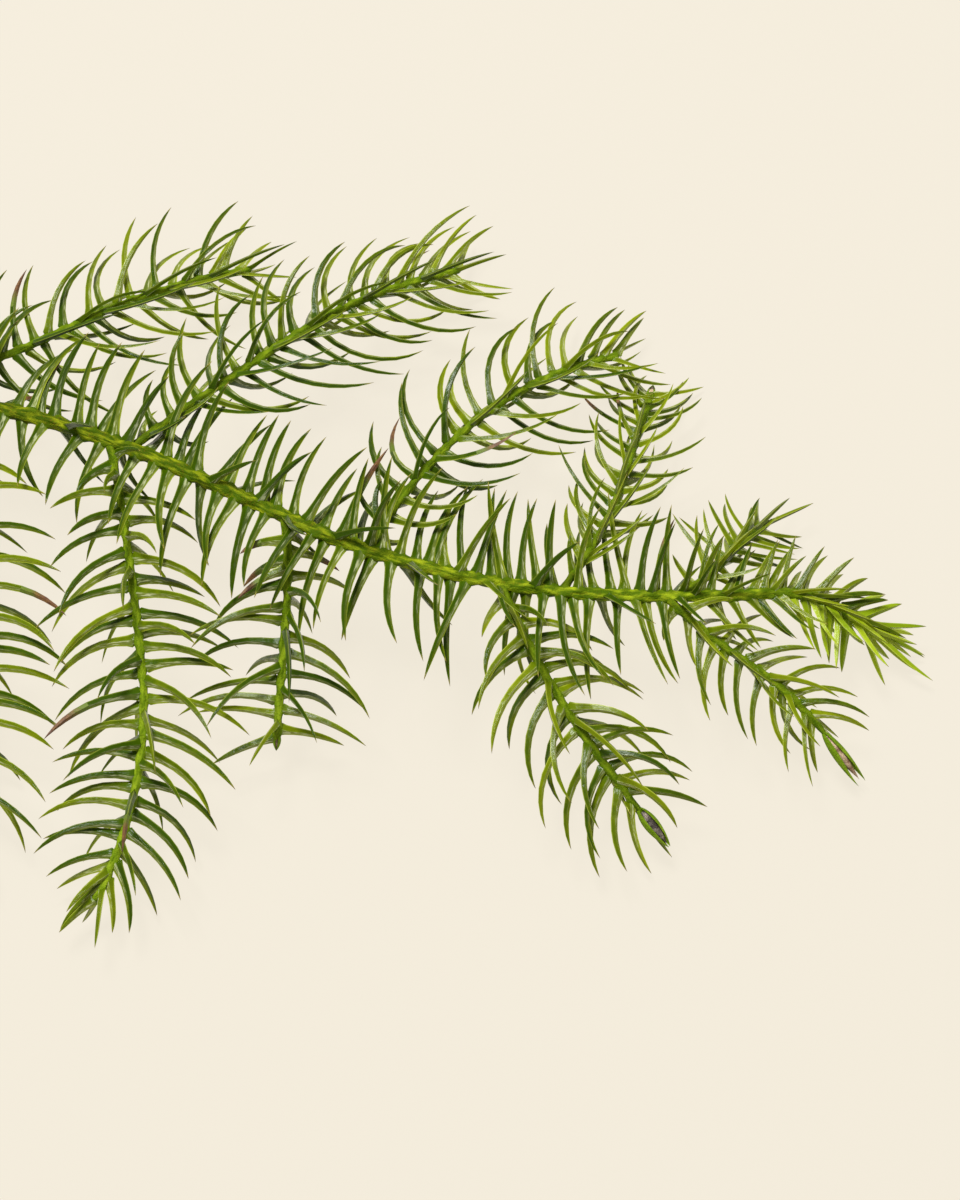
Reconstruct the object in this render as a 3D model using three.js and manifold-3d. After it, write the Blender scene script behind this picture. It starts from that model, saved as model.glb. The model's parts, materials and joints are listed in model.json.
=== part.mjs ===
// A cut bough of a young Norfolk Island pine lying on level ground. One tapering bough carries
// branchlets in opposite pairs and ends in a leader; every stem is set with curved awl needles.
import * as THREE from "three";
import { mergeVertices } from "three/addons/utils/BufferGeometryUtils.js";
import Module from "manifold-3d";

const wasm = await Module();
wasm.setup();

// Driving sizes in millimetres, angles in degrees, shares from 0 at a root to 1 at a tip
const GAP = 0.3;

// The bough: plan headings at even steps from the cut to the tip, an arched height over the ground
const BOUGH = {
  name: "main_bough",
  reach: 133,
  headings: [-16, -14, -24, -26, -12, 0, 8],
  height: { root: 17, tip: 14, arch: 6 },
  radius: { root: 1.45, tip: 0.8 },
  bare: 5,
  pitch: 0.96,
  needle: 13.4,
  lean: { root: 98, late: 88, tip: 80 },
  shortRoot: 0.8,
  shortTip: 0.66,
  seed: 1,
};

// The leader carries on from the tip of the bough
const LEADER = {
  name: "leader_tip",
  reach: 17,
  headings: [4, -28, -24],
  height: { tip: 6.2 },
  radius: { root: 0.8, tip: 0.58 },
  bare: 0.6,
  pitch: 0.56,
  needle: 10.5,
  lean: { root: 84, late: 62, tip: 30 },
  shortRoot: 0.85,
  shortTip: 0.86,
  seed: 2,
};

// Branchlets: station along the bough, angles off the bough at root, middle and tip, reach in plan,
// height of the tip, needle length and the lean of the needles near the root and late on the stem
const BRANCHLETS = [
  { name: "left_branchlet_1", station: 12, angles: [39, 49, 34], reach: 50,
    tip: 6.3, needle: 13.2, leans: [94, 70] },
  { name: "left_branchlet_2", station: 43, angles: [64, 65, 45], reach: 55,
    tip: 6.3, needle: 14.2, leans: [92, 62] },
  { name: "left_branchlet_3", station: 78, angles: [83, 65, 40], reach: 49,
    tip: 6.8, needle: 13.4, leans: [100, 66] },
  { name: "left_branchlet_4", station: 104, angles: [57, 77, 79], reach: 35,
    tip: 4.6, needle: 10.6, leans: [90, 64] },
  { name: "left_branchlet_5", station: 120, angles: [34, 52, 44], reach: 16.5,
    tip: 5.2, needle: 9.6, leans: [92, 70] },
  { name: "right_branchlet_1", station: 15, angles: [-61, -71, -91], reach: 60,
    tip: 7, needle: 13.4, leans: [98, 78] },
  { name: "right_branchlet_2", station: 40, angles: [-56, -62, -98], reach: 61,
    tip: 6.2, needle: 13.4, leans: [100, 78] },
  { name: "right_branchlet_3", station: 66, angles: [-58, -70, -70], reach: 27,
    tip: 7.5, needle: 13.4, leans: [102, 90] },
  { name: "right_branchlet_4", station: 96, angles: [-61, -47, -38], reach: 35.5,
    tip: 6.8, needle: 13.4, leans: [92, 74] },
  { name: "right_branchlet_5", station: 118, angles: [-52, -36, -58], reach: 31,
    tip: 4.6, needle: 9.6, leans: [88, 66] },
];
const BRANCHLET = {
  radius: { root: 0.72, tip: 0.56 },
  bare: 1.6,
  pitch: 0.95,
  tipLean: 34,
  shortRoot: 0.42,
  shortTip: 0.78,
  firstSeed: 3,
};
const DROOP_POWER = 1.5;

// Needles: half width at the root, fall of the lean over a needle, and how they crowd and spread
const HALF_WIDTH = 0.5;
const ROOT_HALF_WIDTH = 0.36;
const TAPER_POWER = 2.5;
const CURL = 46;
const TIP_CURL = 14;
const TUFT_SHARE = 0.74;
const SHORT_SHARE = 0.26;
const CROWDING = 0.86;
const SPIRAL = 137.508;
const FLATTEN = 0.55;
const LEAN_SPREAD = 16;
const TURN_SPREAD = 18;
const LENGTH_SPREAD = 0.16;
const BEND_SHARE = 0.46;
const KEEL_SHARE = 0.25;
const SEED_TURN = 61;
const CHANCE = { bySeed: 12.9898, byIndex: 78.233, byTrait: 37.719, size: 43758.5453 };
const SIDESTEPS = [0, 15, -15, 30, -30, 50, -50, 75, -75];

// Facets
const LINE_STEPS = 48;
const GUARD_STEPS = 12;
const BOUGH_SIDES = 8;
const BOUGH_RINGS = 18;
const TWIG_SIDES = 4;
const TWIG_RINGS = 10;
const NEEDLE_SIDES = 3;
const PRESS_STEPS = 14;
const MIDDLE_BAND = 0.25;
const PARALLEL = 1e-9;

const COLOURS = {
  bough: { color: 0x7f8a3c, roughness: 0.62 },
  twig: { color: 0x5d8436, roughness: 0.48 },
  leader: { color: 0x8aae4e, roughness: 0.45 },
};

const UP = new THREE.Vector3(0, 0, 1);
const { clamp, degToRad, lerp, smoothstep } = THREE.MathUtils;

// Repeatable number from 0 to 1 for one trait of one needle
function chance(seed, index, trait) {
  const { bySeed, byIndex, byTrait, size } = CHANCE;
  const wave = Math.sin(seed * bySeed + index * byIndex + trait * byTrait) * size;
  return wave - Math.floor(wave);
}

// Value at a share of the way through evenly spaced values
function along(values, share) {
  const place = clamp(share, 0, 1) * (values.length - 1);
  const step = Math.min(Math.floor(place), values.length - 2);
  return lerp(values[step], values[step + 1], place - step);
}

// Stem line: a walk in plan that follows its headings, at the heights a function gives
function growLine(start, reach, headings, heightAt) {
  const points = [start.clone()];
  for (let step = 0; step < LINE_STEPS; step += 1) {
    const heading = degToRad(along(headings, (step + 0.5) / LINE_STEPS));
    const next = points[step].clone();
    next.x += (Math.cos(heading) * reach) / LINE_STEPS;
    next.y += (Math.sin(heading) * reach) / LINE_STEPS;
    next.z = heightAt((step + 1) / LINE_STEPS);
    points.push(next);
  }
  return points;
}

// Point of a line with its tangent, its level side and its upper side
function placeOn(line, share) {
  const place = clamp(share, 0, 1) * LINE_STEPS;
  const step = Math.min(Math.floor(place), LINE_STEPS - 1);
  const point = line[step].clone().lerp(line[step + 1], place - step);
  const before = line[Math.max(step - 1, 0)];
  const after = line[Math.min(step + 2, LINE_STEPS)];
  const tangent = after.clone().sub(before).normalize();
  const side = tangent.clone().cross(UP).normalize();
  const upper = side.clone().cross(tangent);
  return { point, tangent, side, upper };
}

// The way of a shoot from its root to its tip, with the level side and the upper side square to it
function sectionOf(shoot) {
  const way = shoot.line[LINE_STEPS].clone().sub(shoot.line[0]).normalize();
  const side = way.clone().cross(UP).normalize();
  const upper = side.clone().cross(way);
  return { way, side, upper };
}

function stemRadius(shoot, share) {
  return lerp(shoot.radius.root, shoot.radius.tip, share);
}

// Half width of a needle: nearly even, then drawn out to a point
function needleRadius(share) {
  return HALF_WIDTH * (1 - share ** TAPER_POWER);
}

// The bough, the leader and the branchlets as lines with their sizes
function layOutShoots() {
  const { root, tip, arch } = BOUGH.height;
  const boughHeight = (share) => lerp(root, tip, share) + 4 * arch * share * (1 - share);
  const start = new THREE.Vector3(0, 0, root);
  const boughLine = growLine(start, BOUGH.reach, BOUGH.headings, boughHeight);
  const bough = { ...BOUGH, line: boughLine };

  const end = boughLine[LINE_STEPS];
  const leaderHeight = (share) => lerp(end.z, LEADER.height.tip, share ** DROOP_POWER);
  const leaderLine = growLine(end, LEADER.reach, LEADER.headings, leaderHeight);
  const leader = { ...LEADER, line: leaderLine };

  const branchlets = BRANCHLETS.map((entry, order) => {
    const { name, reach, needle, leans } = entry;
    const share = entry.station / BOUGH.reach;
    const joint = placeOn(boughLine, share).point;
    const boughHeading = along(BOUGH.headings, share);
    const headings = entry.angles.map((angle) => boughHeading + angle);
    const height = (part) => lerp(joint.z, entry.tip, part ** DROOP_POWER);
    const line = growLine(joint, reach, headings, height);
    const lean = { root: leans[0], late: leans[1], tip: BRANCHLET.tipLean };
    return { ...BRANCHLET, name, reach, needle, lean, line, seed: BRANCHLET.firstSeed + order };
  });
  return [bough, leader, ...branchlets];
}

// Centre line of a needle: its lean off the stem falls evenly from root to tip
function needleLine(needle, turn) {
  const { frame, lean, fall, length } = needle;
  const outward = frame.side.clone().multiplyScalar(Math.cos(turn));
  outward.addScaledVector(frame.upper, Math.sin(turn));
  const across = frame.tangent.clone().cross(outward);
  const pointAt = (share) => {
    const angle = lean - fall * share;
    const ahead = (length * (Math.sin(lean) - Math.sin(angle))) / fall;
    const out = (length * (Math.cos(angle) - Math.cos(lean))) / fall;
    return frame.point.clone().addScaledVector(frame.tangent, ahead).addScaledVector(outward, out);
  };
  const keelAt = (share) => {
    const angle = lean - fall * share;
    const keel = outward.clone().multiplyScalar(Math.cos(angle));
    return keel.addScaledVector(frame.tangent, -Math.sin(angle));
  };
  return { pointAt, keelAt, across };
}

function isAboveGround(line) {
  const bend = line.pointAt(BEND_SHARE);
  return bend.z >= needleRadius(BEND_SHARE) && line.pointAt(1).z >= 0;
}

// A needle that would reach into the ground is turned towards level until it just rests there
function pressToGround(needle, turn) {
  let line = needleLine(needle, turn);
  if (isAboveGround(line)) return line;
  const level = Math.cos(turn) >= 0 ? 0 : Math.PI;
  const fullTurn = Math.atan2(Math.sin(level - turn), Math.cos(level - turn));
  let low = 0;
  let high = 1;
  for (let step = 0; step < PRESS_STEPS; step += 1) {
    const middle = (low + high) / 2;
    line = needleLine(needle, turn + fullTurn * middle);
    if (isAboveGround(line)) high = middle;
    else low = middle;
  }
  return needleLine(needle, turn + fullTurn * high);
}

// Traits of one needle on a shoot, before its turn about the stem is settled
function needleTraits(shoot, index, count) {
  const first = shoot.bare / shoot.reach;
  const share = first + (1 - first) * ((index + 0.5) / count) ** CROWDING;
  const tuft = smoothstep(share, TUFT_SHARE, 1);
  const leanJitter = (chance(shoot.seed, index, 1) - 0.5) * LEAN_SPREAD;
  const bodyLean = lerp(shoot.lean.root, shoot.lean.late, Math.min(share / TUFT_SHARE, 1));
  const lean = lerp(bodyLean, shoot.lean.tip, tuft) + leanJitter;
  const fall = lerp(CURL, TIP_CURL, tuft);
  const young = lerp(shoot.shortRoot, 1, smoothstep(share, 0, SHORT_SHARE));
  const size = 1 - LENGTH_SPREAD * chance(shoot.seed, index, 2);
  const length = shoot.needle * young * lerp(1, shoot.shortTip, tuft) * size;
  const spiral = degToRad(index * SPIRAL + shoot.seed * SEED_TURN);
  const turnJitter = degToRad((chance(shoot.seed, index, 3) - 0.5) * TURN_SPREAD);
  const turn = spiral - FLATTEN * 0.5 * Math.sin(2 * spiral) + turnJitter;
  const frame = placeOn(shoot.line, share);
  return { frame, turn, lean: degToRad(lean), fall: degToRad(fall), length };
}

// Shortest distance between two straight pieces
function pieceDistance(one, two) {
  const u = one.to.clone().sub(one.from);
  const v = two.to.clone().sub(two.from);
  const w = one.from.clone().sub(two.from);
  const uu = u.dot(u);
  const uv = u.dot(v);
  const vv = v.dot(v);
  const uw = u.dot(w);
  const vw = v.dot(w);
  const spread = uu * vv - uv * uv;
  let s = spread > PARALLEL ? clamp((uv * vw - vv * uw) / spread, 0, 1) : 0;
  const t = clamp((uv * s + vw) / vv, 0, 1);
  s = clamp((uv * t - uw) / uu, 0, 1);
  return w.addScaledVector(u, s).addScaledVector(v, -t).length();
}

// Straight pieces with a radius that stand for the open part of a stem
function stemGuards(shoot) {
  const first = shoot.bare / shoot.reach;
  const shareAt = (step) => lerp(first, 1, step / GUARD_STEPS);
  return Array.from({ length: GUARD_STEPS }, (_, step) => ({
    owner: shoot.name,
    from: placeOn(shoot.line, shareAt(step)).point,
    to: placeOn(shoot.line, shareAt(step + 1)).point,
    radius: stemRadius(shoot, shareAt(step)),
  }));
}

// Straight pieces with a radius that stand for a needle
function needleGuards(shoot, line) {
  const root = line.pointAt(0);
  const bend = line.pointAt(BEND_SHARE);
  return [
    { owner: shoot.name, from: root, to: bend, radius: HALF_WIDTH },
    { owner: shoot.name, from: bend, to: line.pointAt(1), radius: needleRadius(BEND_SHARE) },
  ];
}

function isClear(pieces, guards) {
  return guards.every((guard) =>
    pieces.every((piece) => {
      if (guard.owner === piece.owner) return true;
      return pieceDistance(piece, guard) > piece.radius + guard.radius + GAP;
    }),
  );
}

// Needle lines of a shoot: each steps aside from its neighbours on other shoots or is left out
function growNeedles(shoot, guards) {
  const count = Math.round((shoot.reach - shoot.bare) / shoot.pitch);
  const lines = [];
  for (let index = 0; index < count; index += 1) {
    const needle = needleTraits(shoot, index, count);
    for (const sidestep of SIDESTEPS) {
      const line = pressToGround(needle, needle.turn + degToRad(sidestep));
      const pieces = needleGuards(shoot, line);
      if (!isClear(pieces, guards)) continue;
      guards.push(...pieces);
      lines.push(line);
      break;
    }
  }
  return lines;
}

function toSolid(geometry) {
  geometry.deleteAttribute("normal");
  geometry.deleteAttribute("uv");
  const merged = mergeVertices(geometry);
  const mesh = new wasm.Mesh({
    numProp: 3,
    vertProperties: merged.attributes.position.array,
    triVerts: new Uint32Array(merged.index.array),
  });
  return new wasm.Manifold(mesh);
}

// Moves each vertex of an upright unit shape to where a function of its three values puts it
function reshape(geometry, move) {
  const places = geometry.attributes.position;
  for (let index = 0; index < places.count; index += 1) {
    const moved = move(places.getX(index), places.getY(index), places.getZ(index));
    places.setXYZ(index, moved.x, moved.y, moved.z);
  }
  return geometry;
}

// Tapering stem bent along its line, with parallel sections so that its facets are flat;
// an extra skin stands out from its sides and its tip
function stemSolid(shoot, sides, rings, extra = 0) {
  const tube = new THREE.CylinderGeometry(1, 1, 1, sides, rings);
  const { way, side, upper } = sectionOf(shoot);
  return toSolid(
    reshape(tube, (x, y, z) => {
      const { point } = placeOn(shoot.line, y + 0.5);
      if (y === 0.5) point.addScaledVector(way, extra);
      const radius = stemRadius(shoot, y + 0.5) + extra;
      return point.addScaledVector(side, x * radius).addScaledVector(upper, z * radius);
    }),
  );
}

// Needle with three sides and a keel, bent once, its narrow root on the centre line of the stem
function needleSolid(line) {
  const awl = new THREE.ConeGeometry(1, 1, NEEDLE_SIDES, 2);
  const keel = line.keelAt(KEEL_SHARE);
  return toSolid(
    reshape(awl, (x, y, z) => {
      const isBend = Math.abs(y) < MIDDLE_BAND;
      const share = isBend ? BEND_SHARE : y + 0.5;
      const radius = isBend ? 2 * needleRadius(BEND_SHARE) : ROOT_HALF_WIDTH;
      const point = line.pointAt(share).addScaledVector(line.across, x * radius);
      return point.addScaledVector(keel, z * radius);
    }),
  );
}

function toMesh(name, solid, finish) {
  const { numProp, vertProperties, triVerts } = solid.getMesh();
  const geometry = new THREE.BufferGeometry();
  const places = new THREE.InterleavedBuffer(vertProperties, numProp);
  geometry.setAttribute("position", new THREE.InterleavedBufferAttribute(places, 3, 0));
  geometry.setIndex(new THREE.BufferAttribute(triVerts, 1));
  const faceted = geometry.toNonIndexed();
  faceted.computeVertexNormals();
  const material = new THREE.MeshStandardMaterial({ ...finish, metalness: 0 });
  const mesh = new THREE.Mesh(faceted, material);
  mesh.name = name;
  return mesh;
}

function finishOf(shoot) {
  if (shoot.name === BOUGH.name) return COLOURS.bough;
  return shoot.name === LEADER.name ? COLOURS.leader : COLOURS.twig;
}

// Each shoot as one solid; the stem of a branchlet or the leader stops clear of the bough
function buildBough() {
  const shoots = layOutShoots();
  const guards = shoots.flatMap(stemGuards);
  const clearance = stemSolid(shoots[0], BOUGH_SIDES, BOUGH_RINGS, GAP);
  const group = new THREE.Group();
  for (const shoot of shoots) {
    const isBough = shoot.name === BOUGH.name;
    const sides = isBough ? BOUGH_SIDES : TWIG_SIDES;
    const rings = isBough ? BOUGH_RINGS : TWIG_RINGS;
    const stem = stemSolid(shoot, sides, rings);
    const needles = growNeedles(shoot, guards).map(needleSolid);
    const whole = wasm.Manifold.union([stem, ...needles]);
    const solid = isBough ? whole : whole.subtract(clearance);
    group.add(toMesh(shoot.name, solid, finishOf(shoot)));
  }
  return group;
}

// The middle of the footprint, at ground level, is the origin
function settle(group) {
  const box = new THREE.Box3().setFromObject(group);
  const middle = box.getCenter(new THREE.Vector3());
  group.position.set(-middle.x, -middle.y, -box.min.z);
  return group;
}

const holder = new THREE.Group();
holder.name = "norfolk_island_pine_bough";
holder.add(settle(buildBough()));

export default holder;
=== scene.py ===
"""Looks of a cut bough of a young Norfolk Island pine that lies on level ground.

The frame gives the cut end. Stems and needles grow on from there by the rule that shaped the solids, with
more and finer needles inside the same reach. Sizes are millimetres and degrees until a mesh is made, which
is in metres.
"""

import json
import logging
from dataclasses import dataclass, field
from enum import IntEnum
from typing import Any

import bpy
import numpy as np
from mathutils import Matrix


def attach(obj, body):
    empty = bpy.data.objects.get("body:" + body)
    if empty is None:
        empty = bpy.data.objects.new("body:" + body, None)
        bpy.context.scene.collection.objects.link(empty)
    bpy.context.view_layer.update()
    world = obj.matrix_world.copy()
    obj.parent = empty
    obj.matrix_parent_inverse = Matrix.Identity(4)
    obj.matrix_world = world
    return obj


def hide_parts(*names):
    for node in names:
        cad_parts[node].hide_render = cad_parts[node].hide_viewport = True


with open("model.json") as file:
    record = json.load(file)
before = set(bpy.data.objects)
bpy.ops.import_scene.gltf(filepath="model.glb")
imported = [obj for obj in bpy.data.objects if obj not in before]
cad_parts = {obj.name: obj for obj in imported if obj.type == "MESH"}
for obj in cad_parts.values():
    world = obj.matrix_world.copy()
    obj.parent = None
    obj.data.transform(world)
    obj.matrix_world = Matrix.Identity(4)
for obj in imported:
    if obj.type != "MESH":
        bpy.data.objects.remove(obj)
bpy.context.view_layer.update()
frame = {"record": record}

LOG = logging.getLogger("bough")
BODY = "root"
MM = 0.001
TURN = 2 * np.pi
UP = np.array([0.0, 0.0, 1.0])

Array = np.ndarray
Colour = tuple[float, float, float, float]
Number = float | Array
Span = tuple[float, float]

# The curve of a screen's colours: a straight foot, then a power
FULL_PART = 255
CURVE_FOOT = 0.04045
FOOT_SLOPE = 12.92
CURVE_LIFT = 0.055
CURVE_POWER = 2.4

# Uneven steps and a scale that scramble a sine
SEED_STEP = 12.9898
INDEX_STEP = 78.233
TRAIT_STEP = 37.719
SINE_SCALE = 43758.5453

# Numbers of the colour inputs and the colour output of a Mix node
MIX_FIRST = 6
MIX_SECOND = 7
MIX_RESULT = 2


def shade(red: int, green: int, blue: int) -> Colour:
    """Linear colour of a shade given as it looks.

    Args:
        red: red part, from 0 to 255.
        green: green part.
        blue: blue part.

    Returns:
        The colour, opaque.
    """
    seen = np.array([red, green, blue]) / FULL_PART
    lifted = (seen + CURVE_LIFT) / (1 + CURVE_LIFT)
    linear = np.where(seen <= CURVE_FOOT, seen / FOOT_SLOPE, lifted**CURVE_POWER)
    return (*(float(part) for part in linear), 1.0)


def lerp(start: Number, end: Number, share: Number) -> Number:
    """Value at a share of the way from start to end."""
    return start + (end - start) * share


def smoothstep(value: Number, low: float, high: float) -> Number:
    """Smooth rise from 0 at low to 1 at high."""
    part = np.clip((np.asarray(value) - low) / (high - low), 0, 1)
    return part * part * (3 - 2 * part)


def along(values: tuple[float, ...], share: Number) -> Array:
    """Value at a share of the way through evenly spaced values."""
    return np.interp(share, np.linspace(0, 1, len(values)), values)


def unit(vectors: Array) -> Array:
    """Vectors scaled to a length of one."""
    return vectors / np.linalg.norm(vectors, axis=-1, keepdims=True)


def wrapped(angle: Array) -> Array:
    """Angle brought to within half a turn of zero."""
    return np.arctan2(np.sin(angle), np.cos(angle))


def column(values: Array) -> Array:
    """Values with one more axis, so that they scale whole vectors."""
    return np.asarray(values)[..., None]


class Trait(IntEnum):
    """What a chance number decides about one needle."""

    LEAN = 1
    LENGTH = 2
    TURN = 3
    CURL = 4
    SWEEP = 5
    TONE = 6
    DRY = 7
    GIRTH = 8


def chance(seed: int, index: Array, trait: Trait) -> Array:
    """Repeatable numbers from 0 to 1: the broken-off part of a large sine of seed, index and trait."""
    wave = np.sin(seed * SEED_STEP + index * INDEX_STEP + trait * TRAIT_STEP) * SINE_SCALE
    return wave - np.floor(wave)


# Shader expressions


class Value:
    """A socket that takes part in Python expressions; each operation adds its Math node."""

    def __init__(self, shader: "Shader", socket: bpy.types.NodeSocket) -> None:
        """Keeps the socket with the shader that owns it."""
        self.shader = shader
        self.socket = socket

    def math(self, operation: str, first: Any, second: Any) -> "Value":
        """Adds one Math node.

        Args:
            operation: name of the Math operation.
            first: upper operand, a Value or a number.
            second: lower operand, a Value or a number.

        Returns:
            The result as a Value.
        """
        return self.shader.add("ShaderNodeMath", {"operation": operation}, {0: first, 1: second})

    def __add__(self, other: Any) -> "Value":
        """Sum."""
        return self.math("ADD", self, other)

    __radd__ = __add__

    def __mul__(self, other: Any) -> "Value":
        """Product."""
        return self.math("MULTIPLY", self, other)

    __rmul__ = __mul__

    def __sub__(self, other: Any) -> "Value":
        """Difference."""
        return self.math("SUBTRACT", self, other)

    def __rsub__(self, other: Any) -> "Value":
        """Difference with the operands the other way round."""
        return self.math("SUBTRACT", other, self)

    def __abs__(self) -> "Value":
        """Size without the sign."""
        return self.math("ABSOLUTE", self, 0.0)

    def rise(self, low: float, high: float) -> "Value":
        """Smooth rise from 0 where this is low to 1 where it is high."""
        sockets = {"Value": self, "From Min": low, "From Max": high}
        return self.shader.add("ShaderNodeMapRange", {"interpolation_type": "SMOOTHSTEP"}, sockets)


class Shader:
    """A material whose nodes are added by expressions."""

    def __init__(self, name: str) -> None:
        """Makes an empty node material.

        Args:
            name: its name.
        """
        self.material = bpy.data.materials.new(name)
        self.material.use_nodes = True
        self.tree = self.material.node_tree
        self.tree.nodes.clear()

    def add(self, kind: str, settings: dict[str, Any], sockets: dict[Any, Any], output: Any = 0) -> Value:
        """Adds a node: its settings are set first, then its sockets are set or linked.

        Args:
            kind: type name of the node.
            settings: attributes of the node.
            sockets: number or name of an input, with a Value to link or a plain value to set.
            output: number or name of the output that is wanted.

        Returns:
            That output as a Value.
        """
        node = self.tree.nodes.new(kind)
        for key, setting in settings.items():
            setattr(node, key, setting)
        for key, given in sockets.items():
            if isinstance(given, Value):
                self.tree.links.new(given.socket, node.inputs[key])
            else:
                node.inputs[key].default_value = given
        return Value(self, node.outputs[output])

    def place(self) -> Value:
        """Object coordinates, in metres of the shared frame."""
        return self.add("ShaderNodeTexCoord", {}, {}, "Object")

    def attribute(self, name: str) -> Value:
        """A number that the mesh carries under that name."""
        return self.add("ShaderNodeAttribute", {"attribute_name": name}, {}, "Fac")

    def map_parts(self, name: str) -> tuple[Value, Value]:
        """Splits a map.

        Args:
            name: name of the map.

        Returns:
            Its two coordinates.
        """
        both = self.add("ShaderNodeUVMap", {"uv_map": name}, {})
        split = self.add("ShaderNodeSeparateXYZ", {}, {0: both})
        return split, Value(self, split.socket.node.outputs[1])

    def noise(self, size: float, detail: float = 2.0, roughness: float = 0.5) -> Value:
        """Noise in Object coordinates.

        Args:
            size: size of its features in millimetres.
            detail: levels of detail.
            roughness: how strongly each finer level shows.

        Returns:
            The noise, from 0 to 1.
        """
        sockets = {
            "Vector": self.place(),
            "Scale": 1 / (size * MM),
            "Detail": detail,
            "Roughness": roughness,
        }
        return self.add("ShaderNodeTexNoise", {}, sockets, "Fac")

    def streaks(self, first: Value, second: Value, third: Value, detail: float = 2.0) -> Value:
        """Noise in three values given as coordinates, from 0 to 1."""
        spot = self.add("ShaderNodeCombineXYZ", {}, {0: first, 1: second, 2: third})
        return self.add("ShaderNodeTexNoise", {}, {"Vector": spot, "Scale": 1.0, "Detail": detail}, "Fac")

    def mix(self, first: Any, second: Any, share: Any) -> Value:
        """Mixes two colours.

        Args:
            first: colour at share 0.
            second: colour at share 1.
            share: share of the second.

        Returns:
            The mixed colour.
        """
        settings = {"data_type": "RGBA", "clamp_factor": True}
        sockets = {"Factor": share, MIX_FIRST: first, MIX_SECOND: second}
        return self.add("ShaderNodeMix", settings, sockets, MIX_RESULT)

    def bump(self, height: Value, depth: float) -> Value:
        """Normal of a surface raised by a height from 0 to 1 times a depth in millimetres."""
        return self.add("ShaderNodeBump", {}, {"Height": height, "Distance": depth * MM, "Strength": 1.0})

    def surface(self, sockets: dict[str, Any]) -> bpy.types.Material:
        """Finishes the material with one Principled surface.

        Args:
            sockets: names of its inputs, each with a Value or a plain value.

        Returns:
            The material.
        """
        skin = self.add("ShaderNodeBsdfPrincipled", {}, sockets)
        output = self.tree.nodes.new("ShaderNodeOutputMaterial")
        self.tree.links.new(skin.socket, output.inputs["Surface"])
        return self.material


# Finishes

NEEDLE_MAP = "Needle"
BAKE_MAP = "OFBake"
TONE = "tone"
FOOT = "foot"
CUSHION = "cushion"
AGE = "age"
TRAVEL = "travel"
LEVEL = "level"
RISE = "rise"

# In a finish, gloss or dullness is the roughness, and shine is the strength of the reflection. A span is
# where something rises from nothing to full, a share is how strongly it shows, a size is that of its noise,
# and its dulling and relief are what it adds to the roughness and to the surface.


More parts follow.
